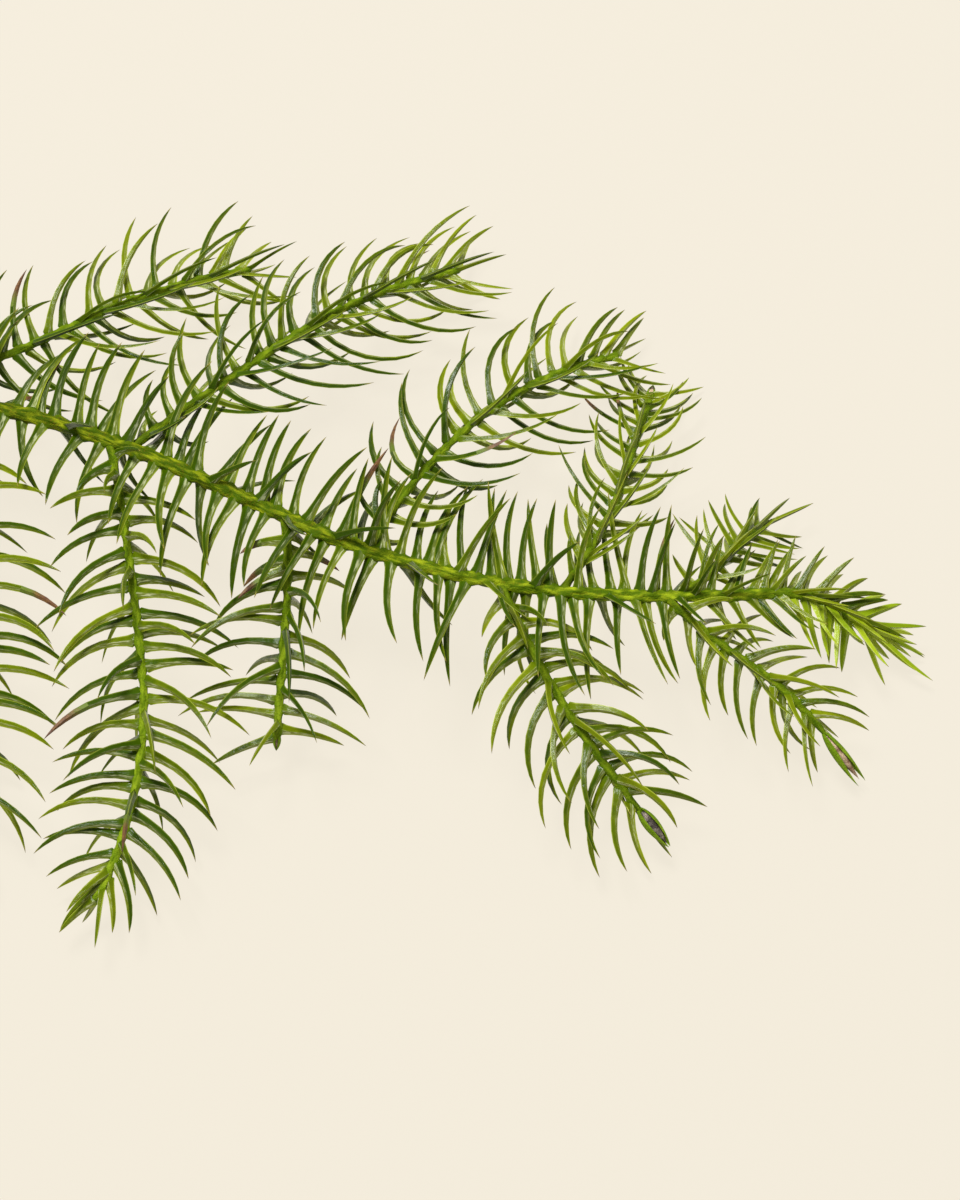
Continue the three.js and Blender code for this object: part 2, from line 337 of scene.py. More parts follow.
@dataclass(frozen=True)
class NeedleSkin:
    """Waxy skin of a needle: paler inner faces with a streaked bloom and painted highlights, a painted glow
    along the rims and a dry tip.

    Spans of the tip, the root, edge_start and band_fade are shares of the needle's length. Spans of the
    outer faces, the inner edge, the keel and the bloom's band are shares of the way from inner edge to keel.

    Attributes:
        deep: colour at tone 0.
        light: colour at tone 1.
        root: colour at the foot.
        edge: colour of the inner edge and the keel: a paler margin with a painted glow of light through the
            thin edges.
        streak_counts: streaks along and round a needle, and how far its tone shifts them.
        deepening: how much deeper the whole needle is.
        edge_by_tone: part of the edges' strength that the tone decides.
        haze: strength of the even bloom beside the streaked one; both also paint highlights.
        bloom_by_tone: part of the bloom's strength that the tone decides.
    """

    name: str
    deep: Colour
    light: Colour
    root: Colour
    edge: Colour
    # bloom: pale stomatal bloom, which also paints highlights along the needle's inner faces
    bloom: Colour = shade(224, 228, 180)
    tip: Colour = shade(168, 148, 72)
    gloss: float = 0.16
    shine: float = 0.12
    bloom_and_highlight_share: float = 0.85
    edge_glow_share: float = 0.85
    tip_span: Span = (0.9, 1.0)
    tip_share: float = 0.8
    mottle_size: float = 1.3
    mottle_detail: float = 3.0
    streak_counts: tuple[float, float, float] = (9.0, 15.0, 60.0)
    tone_share: float = 0.85
    mottle_share: float = 0.5
    deepening: float = 0.05
    outer_span: Span = (0.42, 0.58)
    outer_loss: float = 0.4
    root_span: Span = (0.0, 0.16)
    root_share: float = 0.4
    inner_span: Span = (0.02, 0.18)
    keel_span: Span = (0.86, 0.98)
    keel_share: float = 0.7
    edge_start: Span = (0.02, 0.12)
    edge_by_tone: float = 0.6
    band_span: Span = (0.1, 0.22)
    band_fade: Span = (0.15, 0.8)
    streak_span: Span = (0.47, 0.65)
    streak_share: float = 0.88
    haze: float = 0.1
    bloom_by_tone: float = 0.4
    mottle_dulling: float = 0.14
    bloom_dulling: float = 0.12
    mottle_relief: float = 2.0
    relief: float = 0.05

    def material(self) -> bpy.types.Material:
        """Colour by the share along and around the needle, with fine noise in colour, gloss and relief.

        Returns:
            The material.
        """
        shader = Shader(self.name)
        length, around = shader.map_parts(NEEDLE_MAP)
        from_inner = abs(around - 0.5) * 2
        tone = shader.attribute(TONE)
        mottle = shader.noise(self.mottle_size, self.mottle_detail)
        spots = [part * count for part, count in zip((length, around, tone), self.streak_counts)]
        streaks = shader.streaks(*spots)
        outer = from_inner.rise(*self.outer_span)
        lightness = tone * self.tone_share + mottle * self.mottle_share - self.deepening
        colour = shader.mix(self.deep, self.light, lightness - outer * self.outer_loss)
        colour = shader.mix(colour, self.root, (1 - length.rise(*self.root_span)) * self.root_share)
        # Pale inner edge and keel: a paler margin with a painted glow of light through the thin edges
        edges = (1 - from_inner.rise(*self.inner_span)) + from_inner.rise(*self.keel_span) * self.keel_share
        edges = edges * length.rise(*self.edge_start) * self.by_tone(tone, self.edge_by_tone)
        colour = shader.mix(colour, self.edge, edges * self.edge_glow_share)
        # Streaked bloom band on the inner faces: stomatal bloom that also paints highlights there
        band = from_inner.rise(*self.band_span) * (1 - outer) * (1 - length.rise(*self.band_fade))
        streaked = streaks.rise(*self.streak_span) * self.streak_share + self.haze
        bloom = band * streaked * self.by_tone(tone, self.bloom_by_tone)
        colour = shader.mix(colour, self.bloom, bloom * self.bloom_and_highlight_share)
        colour = shader.mix(colour, self.tip, length.rise(*self.tip_span) * self.tip_share)
        sockets = {
            "Base Color": colour,
            "Roughness": self.gloss + mottle * self.mottle_dulling + bloom * self.bloom_dulling,
            "Specular IOR Level": self.shine,
            "Normal": shader.bump(streaks + mottle * self.mottle_relief, self.relief),
        }
        return shader.surface(sockets)

    @staticmethod
    def by_tone(tone: Value, part: float) -> Value:
        """Strength of which the tone decides a part."""
        return tone * part + (1 - part)


@dataclass(frozen=True)
class DrySkin:
    """Withered skin of a needle or bud: two browns in fine streaks and specks, dull and wrinkled.

    Attributes:
        dark: deeper brown.
        pale: lighter brown.
        wrinkle: depth of the relief.
        living: colour that the brown starts from at the middle of a needle, if only its outer half is dry.
        streak_breakup: how strongly each finer level of the streaks shows.
        dry_span: shares of a needle's length between which its dry half starts.
        ragged: how far the streaks shift that start.
    """

    name: str
    dark: Colour
    pale: Colour
    dullness: float = 0.5
    wrinkle: float = 0.12
    streak_size: float = 0.7
    living: Colour | None = None
    streak_detail: float = 4.0
    streak_breakup: float = 0.65
    streak_share: float = 0.8
    pale_span: Span = (0.38, 0.68)
    speck_size: float = 0.2
    speck_dulling: float = 0.2
    speck_relief: float = 0.5
    dry_span: Span = (0.54, 0.72)
    ragged: float = 0.2

    def material(self) -> bpy.types.Material:
        """Browns mixed by two sizes of noise that also wrinkle the skin.

        Returns:
            The material.
        """
        shader = Shader(self.name)
        streaks = shader.noise(self.streak_size, self.streak_detail, self.streak_breakup)
        specks = shader.noise(self.speck_size)
        paleness = streaks.rise(*self.pale_span) * self.streak_share + specks * (1 - self.streak_share)
        colour = shader.mix(self.dark, self.pale, paleness)
        if self.living:
            length, _ = shader.map_parts(NEEDLE_MAP)
            dryness = (length + (streaks - 0.5) * self.ragged).rise(*self.dry_span)
            colour = shader.mix(self.living, colour, dryness)
        sockets = {
            "Base Color": colour,
            "Roughness": self.dullness + specks * self.speck_dulling,
            "Normal": shader.bump(streaks + specks * self.speck_relief, self.wrinkle),
        }
        return shader.surface(sockets)


@dataclass(frozen=True)
class StemSkin:
    """Green bark: pale on the ridges, deep in the grooves with painted shade there, needle green at the
    feet, flecked with brown.

    Ridges show where cushion, streaks and grain add up, each by its share, to more than the groove's share.

    Attributes:
        ridge: colour of the leaf cushions' ridges on young stem.
        groove: colour between them on young stem, partly the bark's own and partly painted shade in the
            crevices.
        old_ridge: colour of the ridges at the oldest end.
        old_groove: colour between them there, also partly painted shade.
        foot: colour at the needle feet.
        fleck: colour of the flecks.
        streak_counts: streaks for each millimetre along the stem, level across it and up across it.
        breakup: how strongly each finer level of blotches and grain shows.
        foot_ragged: how far the grain shifts the outline of the feet.
        fleck_grain: span of the grain in which flecks show.
        fleck_blotch: span of the blotches in which flecks gather.
        fleck_feet: span of the feet's height in which flecks fade.
        fleck_by_age: part of the flecks' strength that age decides.
    """

    name: str
    ridge: Colour
    groove: Colour
    old_ridge: Colour
    old_groove: Colour
    foot: Colour
    fleck: Colour
    fleck_share: float
    gloss: float = 0.46
    shine: float = 0.05
    streak_counts: tuple[float, float, float] = (0.5, 2.4, 2.4)
    blotch_size: float = 1.6
    grain_size: float = 0.26
    detail: float = 3.0
    breakup: float = 0.6
    cushion_share: float = 0.6
    streak_share: float = 2.4
    grain_share: float = 0.7
    groove_share: float = 1.4
    ridge_span: Span = (0.0, 1.2)
    foot_span: Span = (0.2, 0.9)
    foot_share: float = 0.85
    foot_ragged: float = 0.5
    fleck_grain: Span = (0.52, 0.64)
    fleck_blotch: Span = (0.42, 0.58)
    fleck_feet: Span = (0.4, 0.9)
    fleck_by_age: float = 0.6
    grain_dulling: float = 0.2
    streak_relief: float = 1.5
    relief: float = 0.2

    def material(self) -> bpy.types.Material:
        """Colour by relief and age, broken up by streaks along the stem, with a fine grain.

        Returns:
            The material.
        """
        shader = Shader(self.name)
        age = shader.attribute(AGE)
        feet = shader.attribute(FOOT)
        ways = zip((TRAVEL, LEVEL, RISE), self.streak_counts)
        spots = [shader.attribute(name) * count for name, count in ways]
        streaks = shader.streaks(*spots, self.detail)
        blotches = shader.noise(self.blotch_size, self.detail, self.breakup)
        grain = shader.noise(self.grain_size, self.detail, self.breakup)
        raised = shader.attribute(CUSHION) * self.cushion_share + streaks * self.streak_share
        raised = raised + grain * self.grain_share - self.groove_share
        ridge = shader.mix(self.ridge, self.old_ridge, age)
        # The groove colour is partly the bark's own and partly painted shade in the crevices between the
        # ridges
        groove = shader.mix(self.groove, self.old_groove, age)
        colour = shader.mix(groove, ridge, raised.rise(*self.ridge_span))
        ragged_feet = feet + (grain - 0.5) * self.foot_ragged
        colour = shader.mix(colour, self.foot, ragged_feet.rise(*self.foot_span) * self.foot_share)
        flecks = grain.rise(*self.fleck_grain) * blotches.rise(*self.fleck_blotch)
        flecks = flecks * (1 - feet.rise(*self.fleck_feet))
        flecks = flecks * (age * self.fleck_by_age + (1 - self.fleck_by_age))
        colour = shader.mix(colour, self.fleck, flecks * self.fleck_share)
        sockets = {
            "Base Color": colour,
            "Roughness": self.gloss + grain * self.grain_dulling,
            "Specular IOR Level": self.shine,
            "Normal": shader.bump(grain + streaks * self.streak_relief, self.relief),
        }
        return shader.surface(sockets)


@dataclass(frozen=True)
class CutWood:
    """Snipped end of the bough: a brown pith, pale damp wood and a green rim under the bark.

    Attributes:
        centre: middle of the cut.
        pith: colour of the pith and of the dots in which fibres end.
        wood: colour of the wood.
        rim: colour under the bark.
        pith_span: radii between which pith turns to wood.
        rim_span: radii between which wood turns to rim.
        ragged: how far the fibres shift those radii.
    """

    name: str
    centre: Array
    pith: Colour = shade(132, 112, 62)
    wood: Colour = shade(214, 206, 150)
    rim: Colour = shade(134, 152, 66)
    pith_span: Span = (0.132, 0.33)
    rim_span: Span = (1.05, 1.197)
    fibre_size: float = 0.12
    ragged: float = 0.12
    dot_span: Span = (0.58, 0.75)
    dot_share: float = 0.35
    dullness: float = 0.55
    fibre_dulling: float = 0.2
    relief: float = 0.08

    def material(self) -> bpy.types.Material:
        """Colour by the distance from the middle of the cut, with the fibres as fine dots.

        Returns:
            The material.
        """
        shader = Shader(self.name)
        settings = {"operation": "DISTANCE"}
        ends = {0: shader.place(), 1: tuple(self.centre * MM)}
        radius = shader.add("ShaderNodeVectorMath", settings, ends, "Value") * (1 / MM)
        fibres = shader.noise(self.fibre_size)
        spread = radius + (fibres - 0.5) * self.ragged
        colour = shader.mix(self.pith, self.wood, spread.rise(*self.pith_span))
        colour = shader.mix(colour, self.rim, spread.rise(*self.rim_span))
        colour = shader.mix(colour, self.pith, fibres.rise(*self.dot_span) * self.dot_share)
        sockets = {
            "Base Color": colour,
            "Roughness": self.dullness + fibres * self.fibre_dulling,
            "Normal": shader.bump(fibres, self.relief),
        }
        return shader.surface(sockets)


@dataclass(frozen=True)
class PaleFloor:
    """Matt pale paper on a light table, so that shadows under the bough stay faint.

    Attributes:
        paper: cooler cream.
        warm: warmer cream, in clouds.
        glow: colour of the light that comes through.
    """

    name: str = "pale_floor"
    paper: Colour = (0.045, 0.042, 0.037, 1.0)
    warm: Colour = (0.043, 0.04, 0.034, 1.0)
    glow: Colour = (1.0, 0.93, 0.79, 1.0)
    glow_strength: float = 0.83
    cloud_size: float = 260.0
    cloud_detail: float = 1.0
    cloud_span: Span = (0.35, 0.65)
    dullness: float = 0.9
    shine: float = 0.1

    def material(self) -> bpy.types.Material:
        """Two near creams in wide soft clouds.

        Returns:
            The material.
        """
        shader = Shader(self.name)
        clouds = shader.noise(self.cloud_size, self.cloud_detail)
        sockets = {
            "Base Color": shader.mix(self.paper, self.warm, clouds.rise(*self.cloud_span)),
            "Roughness": self.dullness,
            "Specular IOR Level": self.shine,
            "Emission Color": self.glow,
            "Emission Strength": self.glow_strength,
        }
        return shader.surface(sockets)


class NeedleFinish(IntEnum):
    """Finishes that needles take, in the order of a needle piece's material slots."""

    GREEN = 0
    FRESH = 1
    RUSTY = 2
    DEAD = 3


# Each edge colour is a paler margin with a painted glow of light through the thin edges
NEEDLE_SKINS = {
    # Each bloom is stomatal bloom and painted highlights together
    NeedleFinish.GREEN: NeedleSkin(
        name="green_needle",
        deep=shade(46, 68, 0),
        light=shade(130, 142, 6),
        root=shade(68, 96, 4),
        edge=shade(182, 192, 70),
    ),
    NeedleFinish.FRESH: NeedleSkin(
        name="fresh_needle",
        deep=shade(114, 138, 6),
        light=shade(166, 182, 34),
        root=shade(124, 150, 14),
        edge=shade(190, 202, 80),
        bloom_and_highlight_share=0.44,
    ),
    NeedleFinish.RUSTY: DrySkin(
        name="rusty_needle", dark=shade(80, 46, 26), pale=shade(120, 84, 36), living=shade(88, 106, 10)
    ),
    NeedleFinish.DEAD: DrySkin(name="dead_needle", dark=shade(52, 36, 34), pale=shade(116, 88, 66)),
}
# In each stem finish the groove colours are partly painted shade in the crevices
BARK = StemSkin(
    name="bough_bark",
    ridge=shade(162, 180, 30),
    groove=shade(72, 99, 3),
    old_ridge=shade(136, 140, 16),
    old_groove=shade(50, 70, 0),
    foot=shade(60, 86, 0),
    fleck=shade(110, 78, 20),
    fleck_share=0.55,
)
TWIG = StemSkin(
    name="twig_bark",
    ridge=shade(132, 154, 24),
    groove=shade(72, 98, 4),
    old_ridge=shade(112, 132, 14),
    old_groove=shade(64, 86, 2),
    foot=shade(80, 106, 4),
    fleck=shade(100, 92, 18),
    fleck_share=0.35,
)
PALE_TWIG = StemSkin(
    name="pale_twig_bark",
    ridge=shade(150, 172, 36),
    groove=shade(86, 112, 6),
    old_ridge=shade(118, 140, 14),
    old_groove=shade(66, 90, 2),
    foot=shade(98, 126, 10),
    fleck=shade(112, 110, 24),
    fleck_share=0.3,
)
SCALE_SKIN = StemSkin(
    name="bud_scale",
    ridge=shade(142, 168, 40),
    groove=shade(104, 134, 20),
    old_ridge=shade(142, 168, 40),
    old_groove=shade(104, 134, 20),
    foot=shade(100, 130, 18),
    fleck=shade(140, 112, 50),
    fleck_share=0.6,
)
# Dead bud core: dark, with pale papery streaks that also paint glints on its glossy skin
DEAD_BUD = DrySkin(
    name="dead_bud",
    dark=shade(30, 20, 22),
    pale=shade(170, 156, 140),
    dullness=0.2,
    wrinkle=0.3,
    streak_size=1.1,
)
PAPER_BUD = DrySkin(
    name="papery_bud",
    dark=shade(92, 56, 30),
    pale=shade(226, 200, 164),
    dullness=0.4,
    streak_size=1.6,
)


# Meshes

# Values at the two end points of a tube, root first
ROOT_TO_TIP = (0.0, 1.0)
TIP_TO_ROOT = (1.0, 0.0)
MIDDLES = (0.0, 0.0)


@dataclass
class Faces:
    """Faces with the same number of corners, with what each carries.

    Attributes:
        corners: point numbers, one row for each face.
        maps: places of the corners on each named map.
        finish: number of each face's material slot.
    """

    corners: Array
    maps: dict[str, Array]
    finish: Array


@dataclass
class Shell:
    """Points in millimetres with their faces and the numbers that the points carry.

    Attributes:
        points: the points.
        faces: groups of faces.
        numbers: values of the points by name.
        ridge_step: difference of point numbers along an edge that stays sharp, or 0 for none.
    """

    points: Array
    faces: list[Faces]
    numbers: dict[str, Array]
    ridge_step: int = 0

    def to_object(self, name: str, materials: list[bpy.types.Material]) -> bpy.types.Object:
        """Makes a smooth mesh object of the shell.

        Args:
            name: name of the piece.
            materials: its material slots in order.

        Returns:
            The object, at the origin and linked to the scene.
        """
        mesh = bpy.data.meshes.new(name)
        mesh.vertices.add(len(self.points))
        mesh.vertices.foreach_set("co", (self.points * MM).astype(np.float32).ravel())
        corners = np.concatenate([group.corners.ravel() for group in self.faces])
        totals = np.concatenate([np.full(len(g.corners), g.corners.shape[1]) for g in self.faces])
        mesh.loops.add(len(corners))
        mesh.loops.foreach_set("vertex_index", corners.astype(np.int32))
        mesh.polygons.add(len(totals))
        starts = np.concatenate([[0], np.cumsum(totals)[:-1]])
        mesh.polygons.foreach_set("loop_start", starts.astype(np.int32))
        finish = np.concatenate([group.finish for group in self.faces])
        mesh.polygons.foreach_set("material_index", finish.astype(np.int32))
        mesh.polygons.foreach_set("use_smooth", np.ones(len(totals), bool))
        for key in self.faces[0].maps:
            places = np.concatenate([group.maps[key].reshape(-1, 2) for group in self.faces])
            layer = mesh.uv_layers.new(name=key)
            layer.data.foreach_set("uv", places.astype(np.float32).ravel())
        for key, values in self.numbers.items():
            layer = mesh.attributes.new(key, "FLOAT", "POINT")
            layer.data.foreach_set("value", values.astype(np.float32).ravel())
        mesh.update(calc_edges=True)
        if self.ridge_step:
            ends = np.zeros(2 * len(mesh.edges), np.int32)
            mesh.edges.foreach_get("vertices", ends)
            sharp = np.abs(ends[0::2] - ends[1::2]) == self.ridge_step
            mesh.attributes.new("sharp_edge", "BOOLEAN", "EDGE").data.foreach_set("value", sharp)
        mesh.validate()
        for material in materials:
            mesh.materials.append(material)
        piece = bpy.data.objects.new(name, mesh)
        bpy.context.scene.collection.objects.link(piece)
        return piece


def hand_over(pieces: list[bpy.types.Object], node: str) -> list[bpy.types.Object]:
    """Attaches pieces to the body and hides the node that they replace.

    Args:
        pieces: the pieces.
        node: name of the node that they replace.

    Returns:
        The pieces.
    """
    for piece in pieces:
        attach(piece, BODY)
        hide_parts(node)
    return pieces


def ring_faces(rings: int, sides: int) -> Array:
    """Joins neighbouring rings of a tube by quads.

    Args:
        rings: rings of the tube.
        sides: sides of a ring.

    Returns:
        Point numbers at the corners, ring by ring.
    """
    low = np.arange(rings - 1)[:, None] * sides
    this = np.arange(sides)[None, :]
    after = (this + 1) % sides
    quads = np.stack([low + this, low + after, low + sides + after, low + sides + this], axis=-1)
    return quads.reshape(-1, 4)


def ring_steps(rings: int, sides: int) -> tuple[Array, Array]:
    """Numbers the rings and sides at the corners of those quads.

    Args:
        rings: rings of the tube.
        sides: sides of a ring.

    Returns:
        Ring numbers and side numbers, with one more side where a ring closes.
    """
    ahead = np.repeat(np.arange(rings - 1), sides)
    aside = np.tile(np.arange(sides), rings - 1)
    ring = np.stack([ahead, ahead, ahead + 1, ahead + 1], axis=-1)
    side = np.stack([aside, aside + 1, aside + 1, aside], axis=-1)
    return ring, side


def end_faces(rings: int, sides: int) -> Array:
    """Closes a tube at root and tip by triangles to two points after those of its rings.

    Args:
        rings: rings of the tube.
        sides: sides of a ring.

    Returns:
        Point numbers at the corners, root first.
    """
    side = np.arange(sides)
    after = (side + 1) % sides
    last = (rings - 1) * sides
    root = np.stack([after, side, np.full(sides, rings * sides)], axis=-1)
    tip = np.stack([last + side, last + after, np.full(sides, rings * sides + 1)], axis=-1)
    return np.concatenate([root, tip])


@dataclass(frozen=True)
class Places:
    """Points on stem lines with the way of growth, the level right side and the upper side at each."""

    point: Array
    tangent: Array
    side: Array
    upper: Array

    def around(self, turn: Array) -> Array:
        """Way out from the stem at a turn about it, from its right side over its upper side."""
        return column(np.cos(turn)) * self.side + column(np.sin(turn)) * self.upper


@dataclass(frozen=True)
class StemLine:
    """Centre line of a stem as evenly spaced points."""

    points: Array
    steps: int = 48

    @classmethod
    def grow(cls, start: Array, reach: float, headings: tuple[float, ...], heights: Array) -> "StemLine":
        """Walks in plan along headings that turn evenly, at the given heights.

        Args:
            start: first point.
            reach: length of the walk in plan.
            headings: evenly spaced plan headings.
            heights: height at each point of the line.

        Returns:
            The line.
        """
        middle = (np.arange(cls.steps) + 0.5) / cls.steps
        heading = np.radians(along(headings, middle))
        strides = np.stack([np.cos(heading), np.sin(heading)], axis=-1) * reach / cls.steps
        plan = start[:2] + np.concatenate([np.zeros((1, 2)), np.cumsum(strides, axis=0)])
        return cls(np.column_stack([plan, heights]))

    @classmethod
    def shares(cls) -> Array:
        """Share along the line of each of its points."""
        return np.linspace(0, 1, cls.steps + 1)

    def at(self, share: Array) -> Places:
        """Finds places on the line, with the ways smoothed between its points.

        Args:
            share: shares along the line.

        Returns:
            The places.
        """
        known = self.shares()
        way = unit(np.gradient(self.points, axis=0))
        share = np.asarray(share, float)
        point = np.stack([np.interp(share, known, self.points[:, axis]) for axis in range(3)], axis=-1)
        tangent = unit(np.stack([np.interp(share, known, way[:, axis]) for axis in range(3)], axis=-1))
        side = unit(np.cross(tangent, UP))
        return Places(point, tangent, side, np.cross(side, tangent))


# Needles


@dataclass(frozen=True)
class NeedleShape:
    """Form of one awl needle, which all needles share.

    Attributes:
        depth: half its depth from keel to inner edge.
        breadth: half its breadth across the flanks.
        slim: share of the width that is lost evenly along it.
        point: power of the share along it by which it closes to a point.
        flare: how much deeper its foot is.
        broad_flare: how much broader its foot is.
        foot_length: length over which the foot fades.
        creep: how far the foot runs down the stem.
        sunk: share of the stem's radius at which its mesh starts, out from the centre line.
        tuck: share of the width that the end inside the stem has.
        root_share: how far its root keeps to the spiral, from 0 for its own turn to 1.
        root_limit: most degrees between its root and its own turn.
        slide: length over which it comes round from its root to its own turn.
        dry_from: share along it from which a half-dried needle has the dry finish.
        rings: shares along the needle at which its rings sit.
        sides: sides of a ring.
    """

    depth: float = 0.6
    breadth: float = 0.46
    slim: float = 0.34
    point: float = 6.0
    flare: float = 0.7
    broad_flare: float = 0.2
    foot_length: float = 1.0
    creep: float = 0.25
    sunk: float = 0.4
    tuck: float = 0.5
    root_share: float = 0.6
    root_limit: float = 70.0
    slide: float = 2.6
    dry_from: float = 0.55
    rings: tuple[float, ...] = (0.0, 0.04, 0.1, 0.22, 0.36, 0.5, 0.63, 0.75, 0.86, 0.95)
    sides: int = 4

    def width_at(self, share: Array) -> Array:
        """Share of the full width that is left at a share along the needle."""
        return (1 - self.slim * share) * (1 - share**self.point)

    def section(self) -> tuple[Array, Array]:
        """Across and keel coordinates of a ring of unit size: a lozenge from the keel round to the keel."""
        angle = np.arange(self.sides) / self.sides * TURN
        return np.sin(angle), np.cos(angle)


NEEDLE_SHAPE = NeedleShape()


@dataclass
class Needles:
    """All needles of a shoot as arrays.

    Attributes:
        share: share along the stem of each root.
        stem_radius: radius of the stem there.
        place: places of the roots on the centre line of the stem.
        turn: turn about the stem.
        ridge_turn: turn about the stem on the spiral, at which its leaf cushion starts, further down.
        lean: angle off the stem at the root.
        fall: how far the lean falls over the needle.
        length: length along the needle.
        sweep: sideways bend as a share of the length.
        girth: factor on the half depth and half breadth.
        tone: 0 for the deeper green to 1 for the lighter one.
        finish: NeedleFinish of the body.
        tip_finish: NeedleFinish of the end.
    """

    share: Array
    stem_radius: Array
    place: Places
    turn: Array
    ridge_turn: Array
    lean: Array
    fall: Array
    length: Array
    sweep: Array
    girth: Array
    tone: Array
    finish: Array
    tip_finish: Array

    def chosen(self, which: Array) -> "Needles":
        """Picks needles.

        Args:
            which: their indices.

        Returns:
            Those needles.
        """
        place = Places(*(getattr(self.place, key)[which] for key in ("point", "tangent", "side", "upper")))
        values = {key: value[which] for key, value in vars(self).items() if key != "place"}
        return Needles(place=place, **values)

    def turned(self, turn: Array) -> "Needles":
        """The same needles at other turns about the stem."""
        return Needles(**{**vars(self), "turn": turn})

    def root_turn(self) -> Array:
        """Turns each root part of the way from the needle's own turn to the spiral.

        Returns:
            Turn about the stem of each root.
        """
        limit = np.radians(NEEDLE_SHAPE.root_limit)
        apart = np.clip(wrapped(self.ridge_turn - self.turn), -limit, limit)
        return self.turn + NEEDLE_SHAPE.root_share * apart

    def centre(self, share: Array) -> Array:
        """Centre points: the lean falls evenly, so each needle follows an arc, swept a little to one side.

        Near its root the needle comes round the stem to the plane of that arc.

        Args:
            share: shares along the needles, one row for each needle.

        Returns:
            One point for each needle and share.
        """
        outward = self.place.around(self.turn)[:, None]
        tangent = self.place.tangent[:, None]
        lean = self.lean[:, None]
        fall = self.fall[:, None]
        length = self.length[:, None]
        angle = lean - fall * share
        ahead = length * (np.sin(lean) - np.sin(angle)) / fall
        out = length * (np.cos(angle) - np.cos(lean)) / fall
        aside = self.sweep[:, None] * length * share**2
        near = 1 - smoothstep(share * length, 0, NEEDLE_SHAPE.slide)
        round_stem = self.place.around(self.root_turn())[:, None] - outward
        slid = np.minimum(out, self.stem_radius[:, None]) * near
        path = column(ahead) * tangent + column(out) * outward + column(slid) * round_stem
        return self.place.point[:, None] + path + column(aside) * np.cross(tangent, outward)

    def keel(self, share: Array) -> Array:
        """Way from the inner edge to the keel, square to the needle in the plane of its arc.

        Args:
            share: shares along the needles, one row for each needle.

        Returns:
            One way for each needle and share.
        """
        outward = self.place.around(self.turn)[:, None]
        angle = self.lean[:, None] - self.fall[:, None] * share
        return column(np.cos(angle)) * outward - column(np.sin(angle)) * self.place.tangent[:, None]

    def shell(self, shape: NeedleShape) -> Shell:
        """Meshes of all needles: a lozenge section carried along each arc, with a flared foot and a point.

        Args:
            shape: form that the needles share.

        Returns:
            One shell of all needles, each closed at its foot and its point.
        """
        count, rings, sides = len(self.share), len(shape.rings), shape.sides
        first = shape.sunk * self.stem_radius / self.length
        ring = np.array(shape.rings)[None, :]
        share = first[:, None] + (1 - first[:, None]) * ring
        out = np.maximum(share * self.length[:, None] - self.stem_radius[:, None], 0)
        foot = np.exp(-out / shape.foot_length)
        width = shape.width_at(ring) * np.where(ring > 0, 1, shape.tuck) * self.girth[:, None]
        depth = width * shape.depth * (1 + shape.flare * foot)
        breadth = width * shape.breadth * (1 + shape.broad_flare * foot)
        across = np.cross(self.place.tangent, self.place.around(self.turn))[:, None]
        middle = self.centre(share) - column(shape.creep * foot) * self.place.tangent[:, None]
        section_across, section_keel = shape.section()
        points = (
            middle[:, :, None]
            + column(breadth[:, :, None] * section_across) * across[:, :, None]
            + column(depth[:, :, None] * section_keel) * self.keel(share)[:, :, None]
        ).reshape(count, rings * sides, 3)
        point = self.centre(np.ones((count, 1)))
        points = np.concatenate([points, point], axis=1)
        size = rings * sides + 1
        offset = np.arange(count)[:, None, None] * size
        return Shell(
            points=points.reshape(-1, 3),
            faces=self.faces(shape, offset),
            numbers={TONE: np.repeat(self.tone, size)},
            ridge_step=sides,
        )

    def faces(self, shape: NeedleShape, offset: Array) -> list[Faces]:
        """Quads of the flanks, triangles of the points and one cap for each foot.

        Args:
            shape: form that the needles share.
            offset: number of each needle's first point.

        Returns:
            The three groups, mapped by share along and around, and to a strip of its own for each needle.
        """
        count, rings, sides = len(self.share), len(shape.rings), shape.sides
        last = (rings - 1) * sides
        side = np.arange(sides)
        points = np.stack([last + side, last + (side + 1) % sides, np.full(sides, rings * sides)], axis=-1)
        cap = side[::-1][None, :]
        ring = np.array(shape.rings)
        ring_number, side_number = ring_steps(rings, sides)
        quad_length = ring[ring_number]
        quad_zone = np.where(quad_length.mean(axis=-1) < shape.dry_from, 0, 1)
        point_length = np.tile([ring[-1], ring[-1], 1.0], (sides, 1))
        point_around = np.stack([side, side + 1, side + 0.5], axis=-1) / sides
        groups = (
            (ring_faces(rings, sides), quad_length, side_number / sides, quad_zone),
            (points, point_length, point_around, np.ones(sides, int)),
            (cap, np.zeros((1, sides)), cap / sides, np.zeros(1, int)),
        )
        finishes = np.stack([self.finish, self.tip_finish], axis=-1)
        return [
            Faces(
                corners=(corners[None] + offset).reshape(-1, corners.shape[1]),
                maps={
                    NEEDLE_MAP: np.tile(np.stack([length, around], axis=-1), (count, 1, 1)),
                    BAKE_MAP: self.strips(length, around),
                },
                finish=finishes[:, zone].ravel(),
            )
            for corners, length, around, zone in groups
        ]

    def strips(self, length: Array, around: Array, columns: int = 3, margin: float = 0.06) -> Array:
        """Gives each needle a strip of its own on a square map, in columns and rows.

        Args:
            length: share along the needle at each corner of its faces.
            around: share around it there.
            columns: columns of the map.
            margin: share of a strip's height that is left free at each edge.

        Returns:
            Places of all corners on the map.
        """
        count = len(self.share)
        rows = -(-count // columns)
        index = np.arange(count)[:, None, None]
        inset_length = lerp(margin / columns, 1 - margin / columns, length)[None]
        inset_around = lerp(margin, 1 - margin, around)[None]
        wide = (index % columns + inset_length) / columns
        high = (index // columns + inset_around) / rows
        return np.stack([wide, high], axis=-1).reshape(-1, length.shape[1], 2)


# Growth


